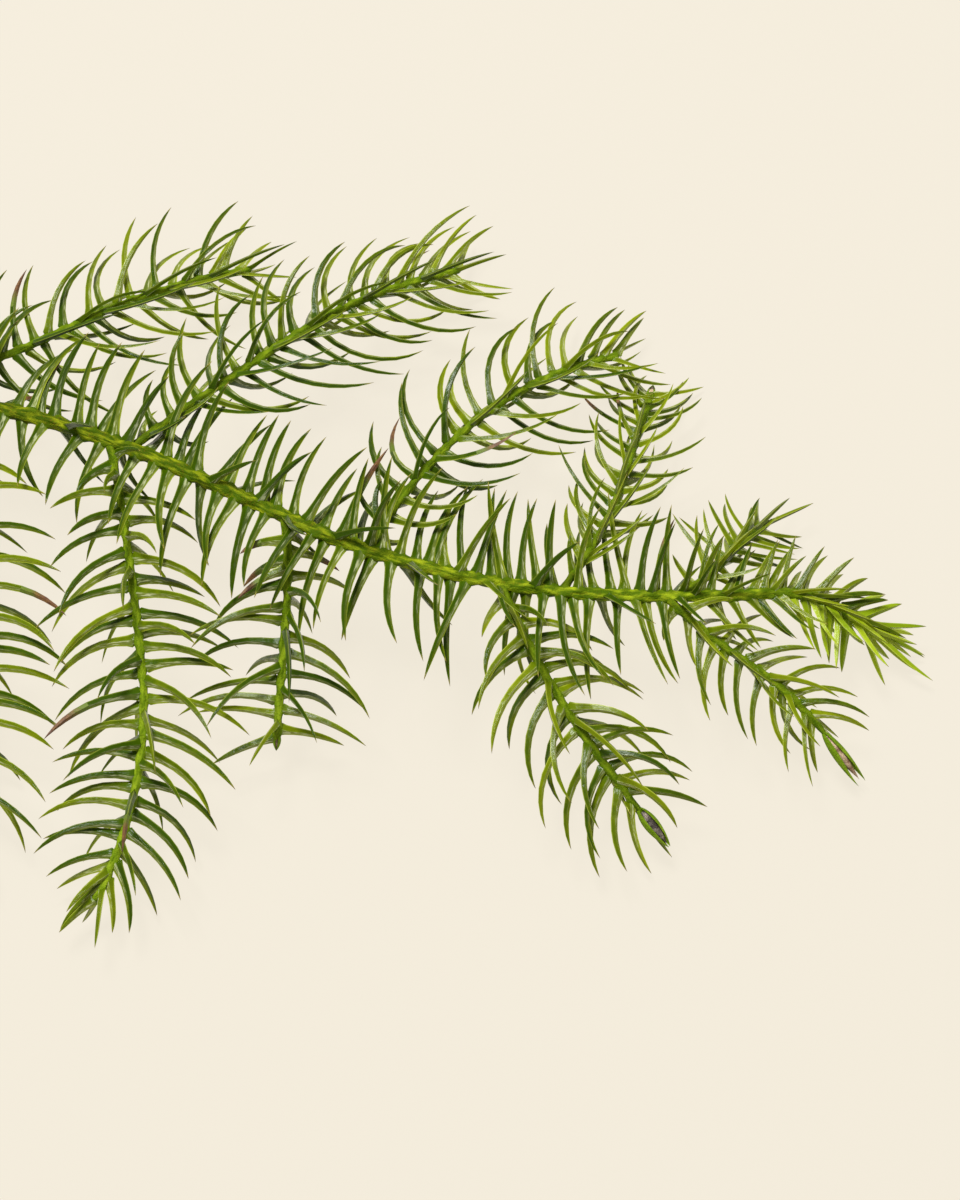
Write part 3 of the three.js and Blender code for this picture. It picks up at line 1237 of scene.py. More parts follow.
@dataclass(frozen=True)
class Blight:
    """Dried needles on a stretch of a shoot.

    Attributes:
        odds: chance that a needle there has dried.
        span: shares of the stem between which that happens.
        finish: finish of the dried part.
        whole: whether the whole needle has dried, or only its outer half.
        size: share of its length that such a needle reached.
    """

    odds: float
    span: Span = (0.0, 1.0)
    finish: NeedleFinish = NeedleFinish.RUSTY
    whole: bool = False
    size: float = 1.0


SCATTERED = Blight(0.015)


@dataclass
class Thicket:
    """Straight guards that stand for the stems and needles placed so far.

    Attributes:
        gap: what is left free between guards of different owners.
        least_spread: what stands for the spread of guards that run side by side.
    """

    gap: float = 0.25
    least_spread: float = 1e-9
    start: Array = field(default_factory=lambda: np.zeros((0, 3)))
    end: Array = field(default_factory=lambda: np.zeros((0, 3)))
    radius: Array = field(default_factory=lambda: np.zeros(0))
    owner: Array = field(default_factory=lambda: np.zeros(0, int))

    def extend(self, start: Array, end: Array, radius: Array, owner: int) -> None:
        """Adds guards.

        Args:
            start: their first ends.
            end: their last ends.
            radius: their radii.
            owner: number of the shoot that they are on.
        """
        self.start = np.concatenate([self.start, start])
        self.end = np.concatenate([self.end, end])
        self.radius = np.concatenate([self.radius, radius])
        self.owner = np.concatenate([self.owner, np.full(len(start), owner)])

    def is_clear(self, start: Array, end: Array, radius: Array, owner: int) -> Array:
        """Says which straight pieces keep clear of all guards of other owners.

        The nearest points of two straight pieces come from their lines, clamped to the ends.

        Args:
            start: first ends of the pieces.
            end: last ends of the pieces.
            radius: radii of the pieces.
            owner: number of the shoot that they are on.

        Returns:
            True for each piece that is clear.
        """
        other = self.owner != owner
        along_one = (end - start)[:, None]
        along_two = (self.end - self.start)[other][None]
        between = start[:, None] - self.start[other][None]
        one_one = np.sum(along_one * along_one, axis=-1)
        one_two = np.sum(along_one * along_two, axis=-1)
        two_two = np.sum(along_two * along_two, axis=-1)
        one_between = np.sum(along_one * between, axis=-1)
        two_between = np.sum(along_two * between, axis=-1)
        spread = np.maximum(one_one * two_two - one_two**2, self.least_spread)
        part_one = np.clip((one_two * two_between - two_two * one_between) / spread, 0, 1)
        part_two = np.clip((one_two * part_one + two_between) / two_two, 0, 1)
        part_one = np.clip((one_two * part_two - one_between) / one_one, 0, 1)
        apart = between + column(part_one) * along_one - column(part_two) * along_two
        room = radius[:, None] + self.radius[other][None] + self.gap
        return np.all(np.linalg.norm(apart, axis=-1) > room, axis=1)


@dataclass(frozen=True)
class Bud:
    """A spent bud at the end of a shoot: two boat-shaped green scales that cup a dried core.

    Attributes:
        node: name of the node that the bud belongs to.
        length: length of the scales.
        radius: half the width of the pair.
        core_radius: half the width of the core.
        core_skin: finish of the core.
        opening: angle between the rims of the scales, towards the upper side.
        wall: thickness of a scale.
        sunk: how far the scales start inside the stem's tip.
        rings: rings of a scale.
        sides: sides of a ring.
        room: radius above the bud that needles keep clear of.
        gape: how far the tip of each scale bends away from the other.
        parting: share of its width by which each scale narrows towards its tip.
        early: power of the share along the bud that moves its widest place towards the root.
        fullness: power of the spindle's sine that fills out its ends.
        overlap: how much further round each half of a scale reaches, in radians.
        ridge_level: how far the bark's finish takes the scales for ridges.
        core_start: share of the length at which the core starts.
        core_share: share of the length that the core takes.
        wrinkles: height, folds round the core and twist along it of each set of wrinkles.
    """

    node: str
    length: float
    radius: float
    core_radius: float
    core_skin: DrySkin
    opening: float = 80.0
    wall: float = 0.3
    sunk: float = 1.2
    rings: int = 26
    sides: int = 20
    room: float = 0.0
    gape: float = 0.0
    parting: float = 0.0
    early: float = 0.8
    fullness: float = 0.8
    overlap: float = 0.25
    ridge_level: float = 0.6
    core_start: float = 0.06
    core_share: float = 0.84
    wrinkles: tuple[tuple[float, float, float], ...] = ((0.03, 5, 14), (0.02, 3, -23))

    def guard(self, shoot: "Shoot") -> tuple[Array, Array, Array]:
        """Keeps needles from lying over the bud by a straight guard above it.

        Args:
            shoot: shoot that the bud ends.

        Returns:
            Start, end and radius of the guard.
        """
        tip = shoot.line.at(np.array([1.0]))
        above = tip.point + self.room * tip.upper
        return above, above + self.length * tip.tangent, np.array([self.room])

    def swell(self, share: Array) -> Array:
        """Spindle: thickness from 0 to 1 at shares of the length, widest before the middle."""
        return np.sin(np.pi * np.clip(share, 0, 1) ** self.early) ** self.fullness

    def tube(self, place: Places, radius: Array, angle: Array, way: Array) -> Shell:
        """Closed tube about the bud's line, which bends away by the square of the share along it.

        Args:
            place: tip of the shoot.
            radius: distance from the line for each ring and side.
            angle: turn about the line for each side, or for each ring and side.
            way: how far the end bends away.

        Returns:
            The shell, with a point at both ends.
        """
        rings, sides = radius.shape
        share = np.linspace(0, 1, rings)
        middle = place.point + column(share * (self.length + self.sunk) - self.sunk) * place.tangent
        middle = middle + column(share**2) * way
        level = radius * np.cos(angle)
        rise = radius * np.sin(angle)
        points = middle[:, None] + column(level) * place.side + column(rise) * place.upper
        points = np.concatenate([points.reshape(-1, 3), middle[[0, -1]]])
        feet = np.concatenate([np.repeat(1 - share, sides), TIP_TO_ROOT])
        numbers = {
            FOOT: feet,
            CUSHION: np.full(len(feet), self.ridge_level),
            AGE: np.zeros(len(feet)),
            TRAVEL: (1 - feet) * self.length,
            LEVEL: np.concatenate([level.ravel(), MIDDLES]),
            RISE: np.concatenate([rise.ravel(), MIDDLES]),
        }
        corners = (ring_faces(rings, sides), end_faces(rings, sides))
        groups = [Faces(group, {}, np.zeros(len(group), int)) for group in corners]
        return Shell(points, groups, numbers)

    def scale(self, place: Places, middle: float) -> Shell:
        """One scale: an arc of the spindle's wall, out along its outer face and back along its inner one.

        Args:
            place: tip of the shoot.
            middle: turn about the line of the scale's middle.

        Returns:
            The shell.
        """
        half = np.radians(180 - self.opening / 2) / 2 + self.overlap
        sweep = np.cos(np.arange(self.sides) / self.sides * TURN)
        face = np.sin(np.arange(self.sides) / self.sides * TURN)
        share = np.linspace(0, 1, self.rings)
        swell = self.swell(share)[:, None]
        radius = swell * (self.radius + 0.5 * self.wall * face[None])
        outward = np.cos(middle) * place.side + np.sin(middle) * place.upper
        drawn_back = 1 - self.parting * share[:, None] ** 2
        return self.tube(place, radius, middle - half * sweep * drawn_back, self.gape * outward)

    def core(self, place: Places) -> Shell:
        """Wrinkled spindle inside the scales, which starts after them and stops short of their tips.

        Args:
            place: tip of the shoot.

        Returns:
            The shell.
        """
        share = np.linspace(0, 1, self.rings)[:, None]
        angle = np.arange(self.sides) / self.sides * TURN
        sets = [height * np.sin(folds * angle + twist * share) for height, folds, twist in self.wrinkles]
        swell = self.swell((share - self.core_start) / self.core_share)
        return self.tube(place, self.core_radius * swell * (1 + sum(sets)), angle, 0 * UP)

    def build(self, shoot: "Shoot", finishes: "Finishes") -> list[bpy.types.Object]:
        """Makes the scales and the core at the tip of a shoot and dresses them.

        Args:
            shoot: shoot that the bud ends.
            finishes: materials of the bough.

        Returns:
            Both scales and the core.
        """
        tip = shoot.line.at(np.array([1.0]))
        place = Places(tip.point[0], tip.tangent[0], tip.side[0], tip.upper[0])
        lower = np.radians(self.opening / 4)
        scale_material = finishes.stem(SCALE_SKIN)
        pieces = [
            self.scale(place, -lower).to_object(f"{self.node}_bud_scale_right", [scale_material]),
            self.scale(place, np.pi + lower).to_object(f"{self.node}_bud_scale_left", [scale_material]),
            self.core(place).to_object(f"{self.node}_bud_core", [finishes.dry(self.core_skin)]),
        ]
        return hand_over(pieces, self.node)


BUDS = (
    Bud("right_branchlet_4", 6.0, 0.9, 0.68, DEAD_BUD, opening=92, room=1.3, gape=0.12),
    Bud("right_branchlet_5", 8.4, 0.74, 0.56, PAPER_BUD, opening=50, room=1.3, gape=0.6, parting=0.45),
    Bud("left_branchlet_5", 2.2, 0.5, 0.42, PAPER_BUD, opening=120),
    Bud("left_branchlet_4", 1.8, 0.46, 0.38, PAPER_BUD, opening=120),
    Bud("right_branchlet_3", 1.4, 0.42, 0.32, PAPER_BUD, opening=70),
)


@dataclass(frozen=True)
class Habit:
    """Growth that all shoots have in common.

    Attributes:
        spiral: turn from each needle to the next.
        seed_turn: turn of the first needle for each count of the shoot's number.
        short_share: share of the stem over which needles come to full length.
        sweep_spread: spread by chance of the sideways bend.
        girth_spread: factors on the thickness between which chance decides.
        withered_girth: factor on the thickness of needles that have dried whole.
        least_curl: least fall of the lean over a needle.
        tuft_calm: how much less chance and steepness count in the tuft.
        tuft_tone: how much lighter the tuft is.
        root_tone_share: share of the stem over which the tone of its root fades.
        foot_cover: share of a foot's height that counts as stem to its needle.
        bend_share: share along a needle at which its two guards meet.
        sidesteps: turns that a needle tries in order until it is clear of other shoots.
        rest_marks: places on a needle's outer part that stay above the ground.
        rest_steps: halvings by which a needle comes to rest there.
        stem_guards: straight guards for each stem.
    """

    spiral: float = 137.508
    seed_turn: float = 61.0
    short_share: float = 0.26
    sweep_spread: float = 0.2
    girth_spread: Span = (0.9, 1.1)
    withered_girth: float = 0.6
    least_curl: float = 6.0
    tuft_calm: float = 0.7
    tuft_tone: float = 0.25
    root_tone_share: float = 0.72
    foot_cover: float = 0.6
    bend_share: float = 0.46
    sidesteps: tuple[float, ...] = (0, 15, -15, 30, -30, 50, -50, 75, -75)
    rest_marks: int = 4
    rest_steps: int = 14
    stem_guards: int = 12


HABIT = Habit()


@dataclass(frozen=True)
class BarkForm:
    """Form of a stem's surface: needle feet, leaf cushions below them and an uneven round.

    Attributes:
        cushion_back: length of a cushion towards the root.
        cushion_front: its length towards the tip.
        cushion_level: height on a cushion, from 0 to 1, that keeps to the stem's radius.
        sway: how far a cushion sways to the sides, in radians.
        sway_rate: radians of its swaying for each millimetre.
        sway_shift: radians by which each next cushion is ahead.
        sway_start: distance from the needle over which the swaying starts.
        drift_start: distance from the needle at which a cushion leaves its turn for that of the spiral.
        drift_share: share of its length at which it gets there.
        bell_limit: most that feet or cushions add up to.
        ripple: unevenness as a share of the radius.
        ripples: lobes round the stem, radians for each millimetre along it and first radians of each wave.
        relief_start: distances from the root between which feet and cushions start.
        dome_start: share of the radius that is left at the very tip.
        tip_push: how far the last point stands out, as a share of the radius.
        map_rows: rows of the map that each hold a stretch of the stem.
        map_margin: share of a row's height that is left free at each edge.
        map_end: radius of both ends on the map, in rows.
        map_end_places: places of both ends along their row.
    """

    sides: int = 16
    ring_pitch: float = 0.34
    foot_height: float = 0.24
    foot_width: float = 0.5
    foot_length: float = 0.8
    cushion_height: float = 0.15
    cushion_width: float = 0.5
    cushion_back: float = 3.2
    cushion_front: float = 0.7
    cushion_level: float = 0.4
    sway: float = 0.4
    sway_rate: float = 1.6
    sway_shift: float = 2.1
    sway_start: float = 1.5
    drift_start: float = 0.2
    drift_share: float = 0.8
    bell_limit: float = 1.15
    ripple: float = 0.05
    ripples: tuple[tuple[float, float, float], ...] = ((3, 0.9, 0.0), (2, -1.7, 1.3))
    relief_start: Span = (1.0, 2.4)
    collar_length: float = 1.2
    collar_fade: float = 1.4
    dome_start: float = 0.25
    tip_push: float = 0.2
    map_rows: int = 6
    map_margin: float = 0.04
    map_end: float = 0.4
    map_end_places: Span = (0.2, 0.7)


TWIG_FORM = BarkForm()
BOUGH_FORM = BarkForm(
    sides=36,
    foot_height=0.28,
    foot_width=0.6,
    foot_length=0.9,
    cushion_height=0.2,
    cushion_width=0.4,
    cushion_back=3.4,
    relief_start=(0.0, 0.1),
)


@dataclass
class Shoot:
    """A stem set with needles, as the solids have it, with finer needles.

    A spread is how far chance moves a value, from end to end; that of the length is a share of it.

    Attributes:
        name: name of the node that it replaces.
        number: seed of its chances.
        reach: length in plan.
        radius: stem radius at root and tip.
        bare: length at the root with no needles.
        pitch: length of stem for each needle.
        needle: length of a full needle.
        leans: angle of the needles off the stem at root, late and at the tip.
        short_root: share of the full length that the first needles have.
        short_tip: share of the full length that the last needles have.
        slot: material slot of the record; not used.
        skin: finish of the stem.
        line: centre line.
        girths: factors on the thickness of the needles, evenly spaced along the stem.
        curls: how far the lean of a needle falls over its length, evenly spaced along the stem.
        flatten: how strongly the spiral is combed towards the level sides.
        combings: how often it is combed.
        left_share: how strongly needles crowd on the left.
        left_lean: how much more needles on the left lean off the stem, and less on the right.
        forward: how much less needles above and below the stem lean off it.
        steep_loss: share of their length that those needles lose.
        crowding: power of a needle's share of the count that crowds roots towards the tip, if below 1.
        tuft_share: share of the stem at which the tuft of its tip starts.
        fresh_from: share of the stem past which needles are young.
        fresh_lag: how much later that is on one side of the stem, and earlier on the other.
        late_side: turn about the stem at which it is latest.
        blights: where needles have dried.
        tones: range of the needles between the deeper green at 0 and the lighter one at 1.
        root_tone: how much lighter, or below 0 deeper, the green is at the root.
        collar: how much the stem swells at its root.
        form: form of the stem's surface.
        has_cut_end: whether its root is a cut that shows.
        kin: number of the shoot that it carries on, whose needles it may touch.
        needles: its needles, once it has grown.
    """

    name: str
    number: int
    reach: float
    radius: tuple[float, float]
    bare: float
    pitch: float
    needle: float
    leans: tuple[float, float, float]
    short_root: float
    short_tip: float
    slot: str
    skin: StemSkin
    line: StemLine
    girths: tuple[float, ...]
    curls: tuple[float, ...]
    flatten: float
    combings: int = 1
    left_share: float = 0.0
    left_lean: float = 0.0
    forward: float = 40.0
    steep_loss: float = 0.1
    crowding: float = 0.86
    tuft_share: float = 0.8
    fresh_from: float = 1.1
    fresh_lag: float = 0.0
    late_side: float = 0.0
    blights: tuple[Blight, ...] = (SCATTERED,)
    tones: Span = (0.15, 0.85)
    root_tone: float = 0.0
    lean_spread: float = 22.0
    turn_spread: float = 24.0
    length_spread: float = 0.24
    curl_spread: float = 30.0
    collar: float = 0.0
    form: BarkForm = TWIG_FORM
    has_cut_end: bool = False
    kin: int | None = None
    needles: Needles = field(init=False)

    @property
    def owner(self) -> int:
        """Number under which it stands in the thicket, shared with its kin."""
        return self.number if self.kin is None else self.kin

    def stem_radius(self, share: Array) -> Array:
        """Radius of the bare stem at a share along it."""
        return lerp(self.radius[0], self.radius[1], share)

    def sprout(self) -> Needles:
        """Needles on a spiral about the stem, flattened towards its level sides, before they make room.

        Roots crowd towards the tip. The lean falls from root to tip, needles near the root are shorter,
        those of the tuft have a length of their own, and chance spreads lean, length, turn, curl and sweep.

        Returns:
            All needles of the shoot.
        """
        count = round((self.reach - self.bare) / self.pitch)
        index = np.arange(count)
        first = self.bare / self.reach
        share = first + (1 - first) * ((index + 0.5) / count) ** self.crowding
        tuft = smoothstep(share, self.tuft_share, 1)
        luck = {trait: chance(self.number, index, trait) for trait in Trait}
        body_lean = lerp(self.leans[0], self.leans[1], np.minimum(share / self.tuft_share, 1))
        lean = lerp(body_lean, self.leans[2], tuft) + (luck[Trait.LEAN] - 0.5) * self.lean_spread
        curl_luck = (luck[Trait.CURL] - 0.5) * self.curl_spread * (1 - HABIT.tuft_calm * tuft)
        fall = along(self.curls, share) + curl_luck
        young = lerp(self.short_root, 1, smoothstep(share, 0, HABIT.short_share))
        size = 1 - self.length_spread * luck[Trait.LENGTH]
        spiral = np.radians(index * HABIT.spiral + self.number * HABIT.seed_turn)
        turn_luck = np.radians((luck[Trait.TURN] - 0.5) * self.turn_spread)
        turn = spiral + self.left_share * np.sin(spiral)
        for _ in range(self.combings):
            turn = turn - self.flatten * 0.5 * np.sin(2 * turn)
        turn = turn + turn_luck
        steep = np.sin(turn) ** 2 * (1 - HABIT.tuft_calm * tuft)
        lean = lean - self.forward * steep - self.left_lean * np.cos(turn)
        size = size * (1 - self.steep_loss * steep)
        ripens = self.fresh_from + self.fresh_lag * np.cos(turn - np.radians(self.late_side))
        body = np.where(share > ripens, NeedleFinish.FRESH, NeedleFinish.GREEN)
        end = body.copy()
        thin = np.ones(count)
        for blight in self.blights:
            struck = (share >= blight.span[0]) & (share <= blight.span[1]) & (luck[Trait.DRY] < blight.odds)
            end[struck] = blight.finish
            size[struck] *= blight.size
            if blight.whole:
                body[struck] = blight.finish
                thin[struck] = HABIT.withered_girth
        root_tone = self.root_tone * np.clip(1 - share / HABIT.root_tone_share, 0, 1)
        return Needles(
            share=share,
            stem_radius=self.stem_radius(share) + HABIT.foot_cover * self.form.foot_height,
            place=self.line.at(share),
            turn=turn,
            ridge_turn=spiral,
            lean=np.radians(lean),
            fall=np.radians(np.maximum(fall, HABIT.least_curl)),
            length=self.needle * young * lerp(1, self.short_tip, tuft) * size,
            sweep=(luck[Trait.SWEEP] - 0.5) * HABIT.sweep_spread,
            girth=along(self.girths, share) * lerp(*HABIT.girth_spread, luck[Trait.GIRTH]) * thin,
            tone=lerp(*self.tones, luck[Trait.TONE]) + HABIT.tuft_tone * tuft + root_tone,
            finish=body,
            tip_finish=end,
        )

    @staticmethod
    def pressed(needles: Needles) -> Needles:
        """Turns needles that reach into the ground towards level until they just rest there, by halving.

        Args:
            needles: the needles.

        Returns:
            The same needles, all above the ground.
        """

        def is_above(turn: Array) -> Array:
            """Says which needles keep above the ground at those turns."""
            heights = needles.turned(turn).centre(np.tile(marks, (len(turn), 1)))[:, :, 2]
            return np.all(heights >= NEEDLE_SHAPE.depth * NEEDLE_SHAPE.width_at(marks), axis=1)

        marks = np.linspace(HABIT.bend_share, 1, HABIT.rest_marks)
        level = np.where(np.cos(needles.turn) >= 0, 0.0, np.pi)
        whole = wrapped(level - needles.turn)
        low = np.zeros(len(whole))
        high = np.where(is_above(needles.turn), 0.0, 1.0)
        for _ in range(HABIT.rest_steps):
            middle = (low + high) / 2
            above = is_above(needles.turn + whole * middle)
            high = np.where(above, middle, high)
            low = np.where(above, low, middle)
        return needles.turned(needles.turn + whole * high)

    @staticmethod
    def guards(needles: Needles) -> tuple[Array, Array, Array]:
        """Lays two straight guards along each needle, to its bend and on to its tip.

        Args:
            needles: the needles.

        Returns:
            Starts, ends and radii of the guards.
        """
        marks = np.tile([0.0, HABIT.bend_share, 1.0], (len(needles.share), 1))
        root, bend, tip = np.moveaxis(needles.centre(marks), 1, 0)
        late = NEEDLE_SHAPE.width_at(np.array(HABIT.bend_share))
        radius = NEEDLE_SHAPE.depth * needles.girth
        pairs = ((root, bend), (bend, tip), (radius, radius * late))
        return tuple(np.concatenate(pair) for pair in pairs)

    def grow(self, thicket: Thicket) -> None:
        """Grows needles and adds them to the thicket.

        Each needle stays at the first sidestep where it is clear of other shoots, or falls away.

        Args:
            thicket: guards of all that has grown so far.
        """
        sprouted = self.sprout()
        turn = sprouted.turn.copy()
        waiting = np.arange(len(turn))
        for sidestep in HABIT.sidesteps:
            if not len(waiting):
                break
            trial = sprouted.chosen(waiting)
            trial = self.pressed(trial.turned(trial.turn + np.radians(sidestep)))
            clear = thicket.is_clear(*self.guards(trial), self.owner).reshape(2, -1).all(axis=0)
            turn[waiting[clear]] = trial.turn[clear]
            waiting = waiting[~clear]
        kept = np.setdiff1d(np.arange(len(turn)), waiting)
        self.needles = sprouted.turned(turn).chosen(kept)
        thicket.extend(*self.guards(self.needles), self.owner)

    def add_stem_guards(self, thicket: Thicket) -> None:
        """Adds straight guards for the open part of the stem.

        Args:
            thicket: guards of all that has grown so far.
        """
        marks = np.linspace(self.bare / self.reach, 1, HABIT.stem_guards + 1)
        point = self.line.at(marks).point
        thicket.extend(point[:-1], point[1:], self.stem_radius(marks[:-1]), self.owner)

    def relief(self, share: Array, angle: Array) -> tuple[Array, Array]:
        """Feet of the needles and leaf cushions that run down the stem from them, each from 0 to about 1.

        A foot is a round bell about its needle's root. A cushion is a bell across the stem, short towards
        the tip and long towards the root, where it drifts and sways as a ridge to the turn of the spiral.
        Bells are added by the cube root of the sum of their cubes, which leaves grooves between them.

        Args:
            share: shares along the stem, one for each ring.
            angle: turns about the stem, one for each side.

        Returns:
            Feet and cushions for each ring and side.
        """
        form = self.form
        needles = self.needles
        behind = (needles.share[None, :] - share[:, None]) * self.reach
        phase = form.sway_rate * behind + form.sway_shift * np.arange(len(needles.share))
        sway = form.sway * np.sin(phase) * smoothstep(behind, 0, form.sway_start)
        root = needles.root_turn()
        settled = smoothstep(behind, form.drift_start, form.drift_share * form.cushion_back)
        ridge = root + wrapped(needles.ridge_turn - root) * settled + sway
        radius = self.stem_radius(share)[:, None, None]

        def bells(turn: Array, width: float, length: Number) -> Array:
            """Adds up one bell for each needle.

            Args:
                turn: turn of its middle, for each ring.
                width: its half width round the stem.
                length: its half length along the stem.

            Returns:
                The sum for each ring and side.
            """
            arc = np.abs(wrapped(angle[None, :, None] - turn[:, None, :])) * radius
            bell = np.exp(-((arc / width) ** 2) - ((behind / length) ** 2)[:, None, :])
            return np.minimum(np.cbrt(np.sum(bell**3, axis=-1)), form.bell_limit)

        cushion_length = np.where(behind > 0, form.cushion_back, form.cushion_front)
        feet = bells(root[None, :], form.foot_width, form.foot_length)
        return feet, bells(ridge, form.cushion_width, cushion_length)

    def stem_shell(self) -> Shell:
        """Tube along the stem line with closed ends, raised at the needle feet and along the leaf cushions.

        The radius narrows from root to tip, swells to a collar at the root, ripples a little and ends in a
        dome.

        Returns:
            The shell, mapped in rows along the stem.
        """
        form = self.form
        rings = form.map_rows * round(self.reach / form.ring_pitch / form.map_rows) + 1
        sides = form.sides
        share = np.linspace(0, 1, rings)
        angle = np.arange(sides) / sides * TURN
        place = self.line.at(share)
        feet, cushions = self.relief(share, angle)
        distance = share * self.reach
        travel = column(distance)
        waves = [np.sin(lobes * angle + rate * travel + start) for lobes, rate, start in form.ripples]
        collar = self.collar * np.exp(-np.maximum(distance - form.collar_length, 0) / form.collar_fade)
        dome = np.sqrt(np.clip((1 - share) * self.reach / self.radius[1], 0, 1))
        bare = self.stem_radius(share)
        base = (bare + collar) * lerp(form.dome_start, 1, dome)
        raised = form.foot_height * feet + form.cushion_height * (cushions - form.cushion_level)
        open_part = dome * smoothstep(distance, *form.relief_start)
        radius = column(base) * (1 + form.ripple * sum(waves)) + raised * column(open_part)
        across = column(np.cos(angle)) * place.side[:, None] + column(np.sin(angle)) * place.upper[:, None]
        points = place.point[:, None] + column(radius) * across
        push = np.array([[0.0], [form.tip_push * self.radius[1]]])
        ends = place.point[[0, -1]] + push * place.tangent[[0, -1]]
        level = column(bare) * np.cos(angle)
        rise = column(bare) * np.sin(angle)
        numbers = {
            FOOT: np.concatenate([feet.ravel(), ROOT_TO_TIP]),
            CUSHION: np.concatenate([cushions.ravel(), ROOT_TO_TIP]),
            AGE: np.concatenate([np.repeat(1 - share, sides), TIP_TO_ROOT]),
            TRAVEL: np.concatenate([np.repeat(share, sides), ROOT_TO_TIP]) * self.reach,
            LEVEL: np.concatenate([level.ravel(), MIDDLES]),
            RISE: np.concatenate([rise.ravel(), MIDDLES]),
        }
        points = np.concatenate([points.reshape(-1, 3), ends])
        return Shell(points, self.stem_faces(rings, sides), numbers)

    def stem_faces(self, rings: int, sides: int) -> list[Faces]:
        """Quads of the tube and triangles of its ends, mapped in rows that each hold a stretch of the stem.

        Args:
            rings: rings of the tube.
            sides: sides of a ring.

        Returns:
            The quads and the triangles. Those of the root show the cut, if there is one.
        """
        form = self.form
        rows = form.map_rows + 1
        per_row = (rings - 1) // form.map_rows
        ring_number, side_number = ring_steps(rings, sides)
        row = column(ring_number[:, 0] // per_row)
        wide = (ring_number - row * per_row) / per_row
        high = (row + lerp(form.map_margin, 1 - form.map_margin, side_number / sides)) / rows
        side = np.arange(sides)
        turn = np.stack([side + 1, side], axis=-1) / sides * TURN
        rim = np.stack([np.cos(turn), np.sin(turn)], axis=-1)
        fan = np.concatenate([rim, np.zeros((sides, 1, 2))], axis=1) * form.map_end / rows
        root_place, tip_place = ([place, (form.map_rows + 0.5) / rows] for place in form.map_end_places)
        end_map = np.concatenate([fan + root_place, fan[:, [1, 0, 2]] + tip_place])
        end_finish = np.repeat([int(self.has_cut_end), 0], sides)
        quads = ring_faces(rings, sides)
        return [
            Faces(quads, {BAKE_MAP: np.stack([wide, high], axis=-1)}, np.zeros(len(quads), int)),
            Faces(end_faces(rings, sides), {BAKE_MAP: end_map}, end_finish),
        ]

    def build(self, finishes: "Finishes") -> list[bpy.types.Object]:
        """Makes the stem and the needles of the shoot and dresses them.

        Args:
            finishes: materials of the bough.

        Returns:
            The stem and the needles.
        """
        stem_materials = [finishes.stem(self.skin)]
        if self.has_cut_end:
            stem_materials.append(finishes.cut_wood)
        stem = self.stem_shell().to_object(f"{self.name}_stem", stem_materials)
        needles = self.needles.shell(NEEDLE_SHAPE).to_object(f"{self.name}_needles", finishes.needles)
        return hand_over([stem, needles], self.name)


class Finishes:
    """Materials of the bough, made once and shared."""

    def __init__(self, cut_centre: Array) -> None:
        """Makes the materials of stems, needles, buds and the cut.

        Args:
            cut_centre: middle of the cut.
        """
        self.needles = [NEEDLE_SKINS[finish].material() for finish in NeedleFinish]
        self.stems = {skin.name: skin.material() for skin in (BARK, TWIG, PALE_TWIG, SCALE_SKIN)}
        self.cut_wood = CutWood("cut_wood", cut_centre).material()
        self.buds = {skin.name: skin.material() for skin in (DEAD_BUD, PAPER_BUD)}

    def stem(self, skin: StemSkin) -> bpy.types.Material:
        """Material of a stem finish."""
        return self.stems[skin.name]

    def dry(self, skin: DrySkin) -> bpy.types.Material:
        """Material of a bud's core."""
        return self.buds[skin.name]


# The plant

BOUGH_HEADINGS = (-16.0, -14.0, -24.0, -26.0, -12.0, 0.0, 8.0)
BOUGH_REACH = 133.0
BOUGH_TIP_HEIGHT = 14.0
BOUGH_ARCH = 6.0
DROOP_POWER = 1.5
NO_SHOOT = 0
BOUGH_NUMBER = 1
LEADER_NUMBER = 2
LEADER_START = 0.985
LEADER_REACH = 17.0
LEADER_TIP_HEIGHT = 6.2
LEADER_HEADINGS = (9.0, -2.0, -25.0, -13.0)
FIRST_BRANCHLET_NUMBER = 3
TIP_TAPER = 0.82
TIP_GIRTH = 0.9
TIP_CURL = 18.0
STEADY_CURLS = 5


@dataclass(frozen=True)
class BranchletPlan:
    """Where a branchlet leaves the bough and how it grows.

    What isn't listed is as in a Shoot.

    Attributes:
        station: distance along the bough.
        angles: headings off the bough at root, middle and tip.
        tip: height of its tip.
        leans: angle of the needles near the root and late on the stem.
        girth: factor on the thickness of the needles.
        curl: how far the lean of a needle falls over its length.
        tip_lean: angle of the last needles.
        stem: radius of its stem at the root.
        unruly: factor on the spreads of lean, curl and length.
    """

    name: str
    station: float
    angles: tuple[float, float, float]
    reach: float
    tip: float
    needle: float
    leans: tuple[float, float]
    pitch: float = 0.88
    girth: float = 0.9
    curl: float = 56.0
    tip_lean: float = 36.0
    blights: tuple[Blight, ...] = (SCATTERED,)
    stem: float = 0.48
    skin: StemSkin = TWIG
    unruly: float = 1.0
    tones: tuple[float, float] = (0.2, 0.95)
    root_tone: float = 0.0
    forward: float = 40.0
    short_tip: float = 0.78


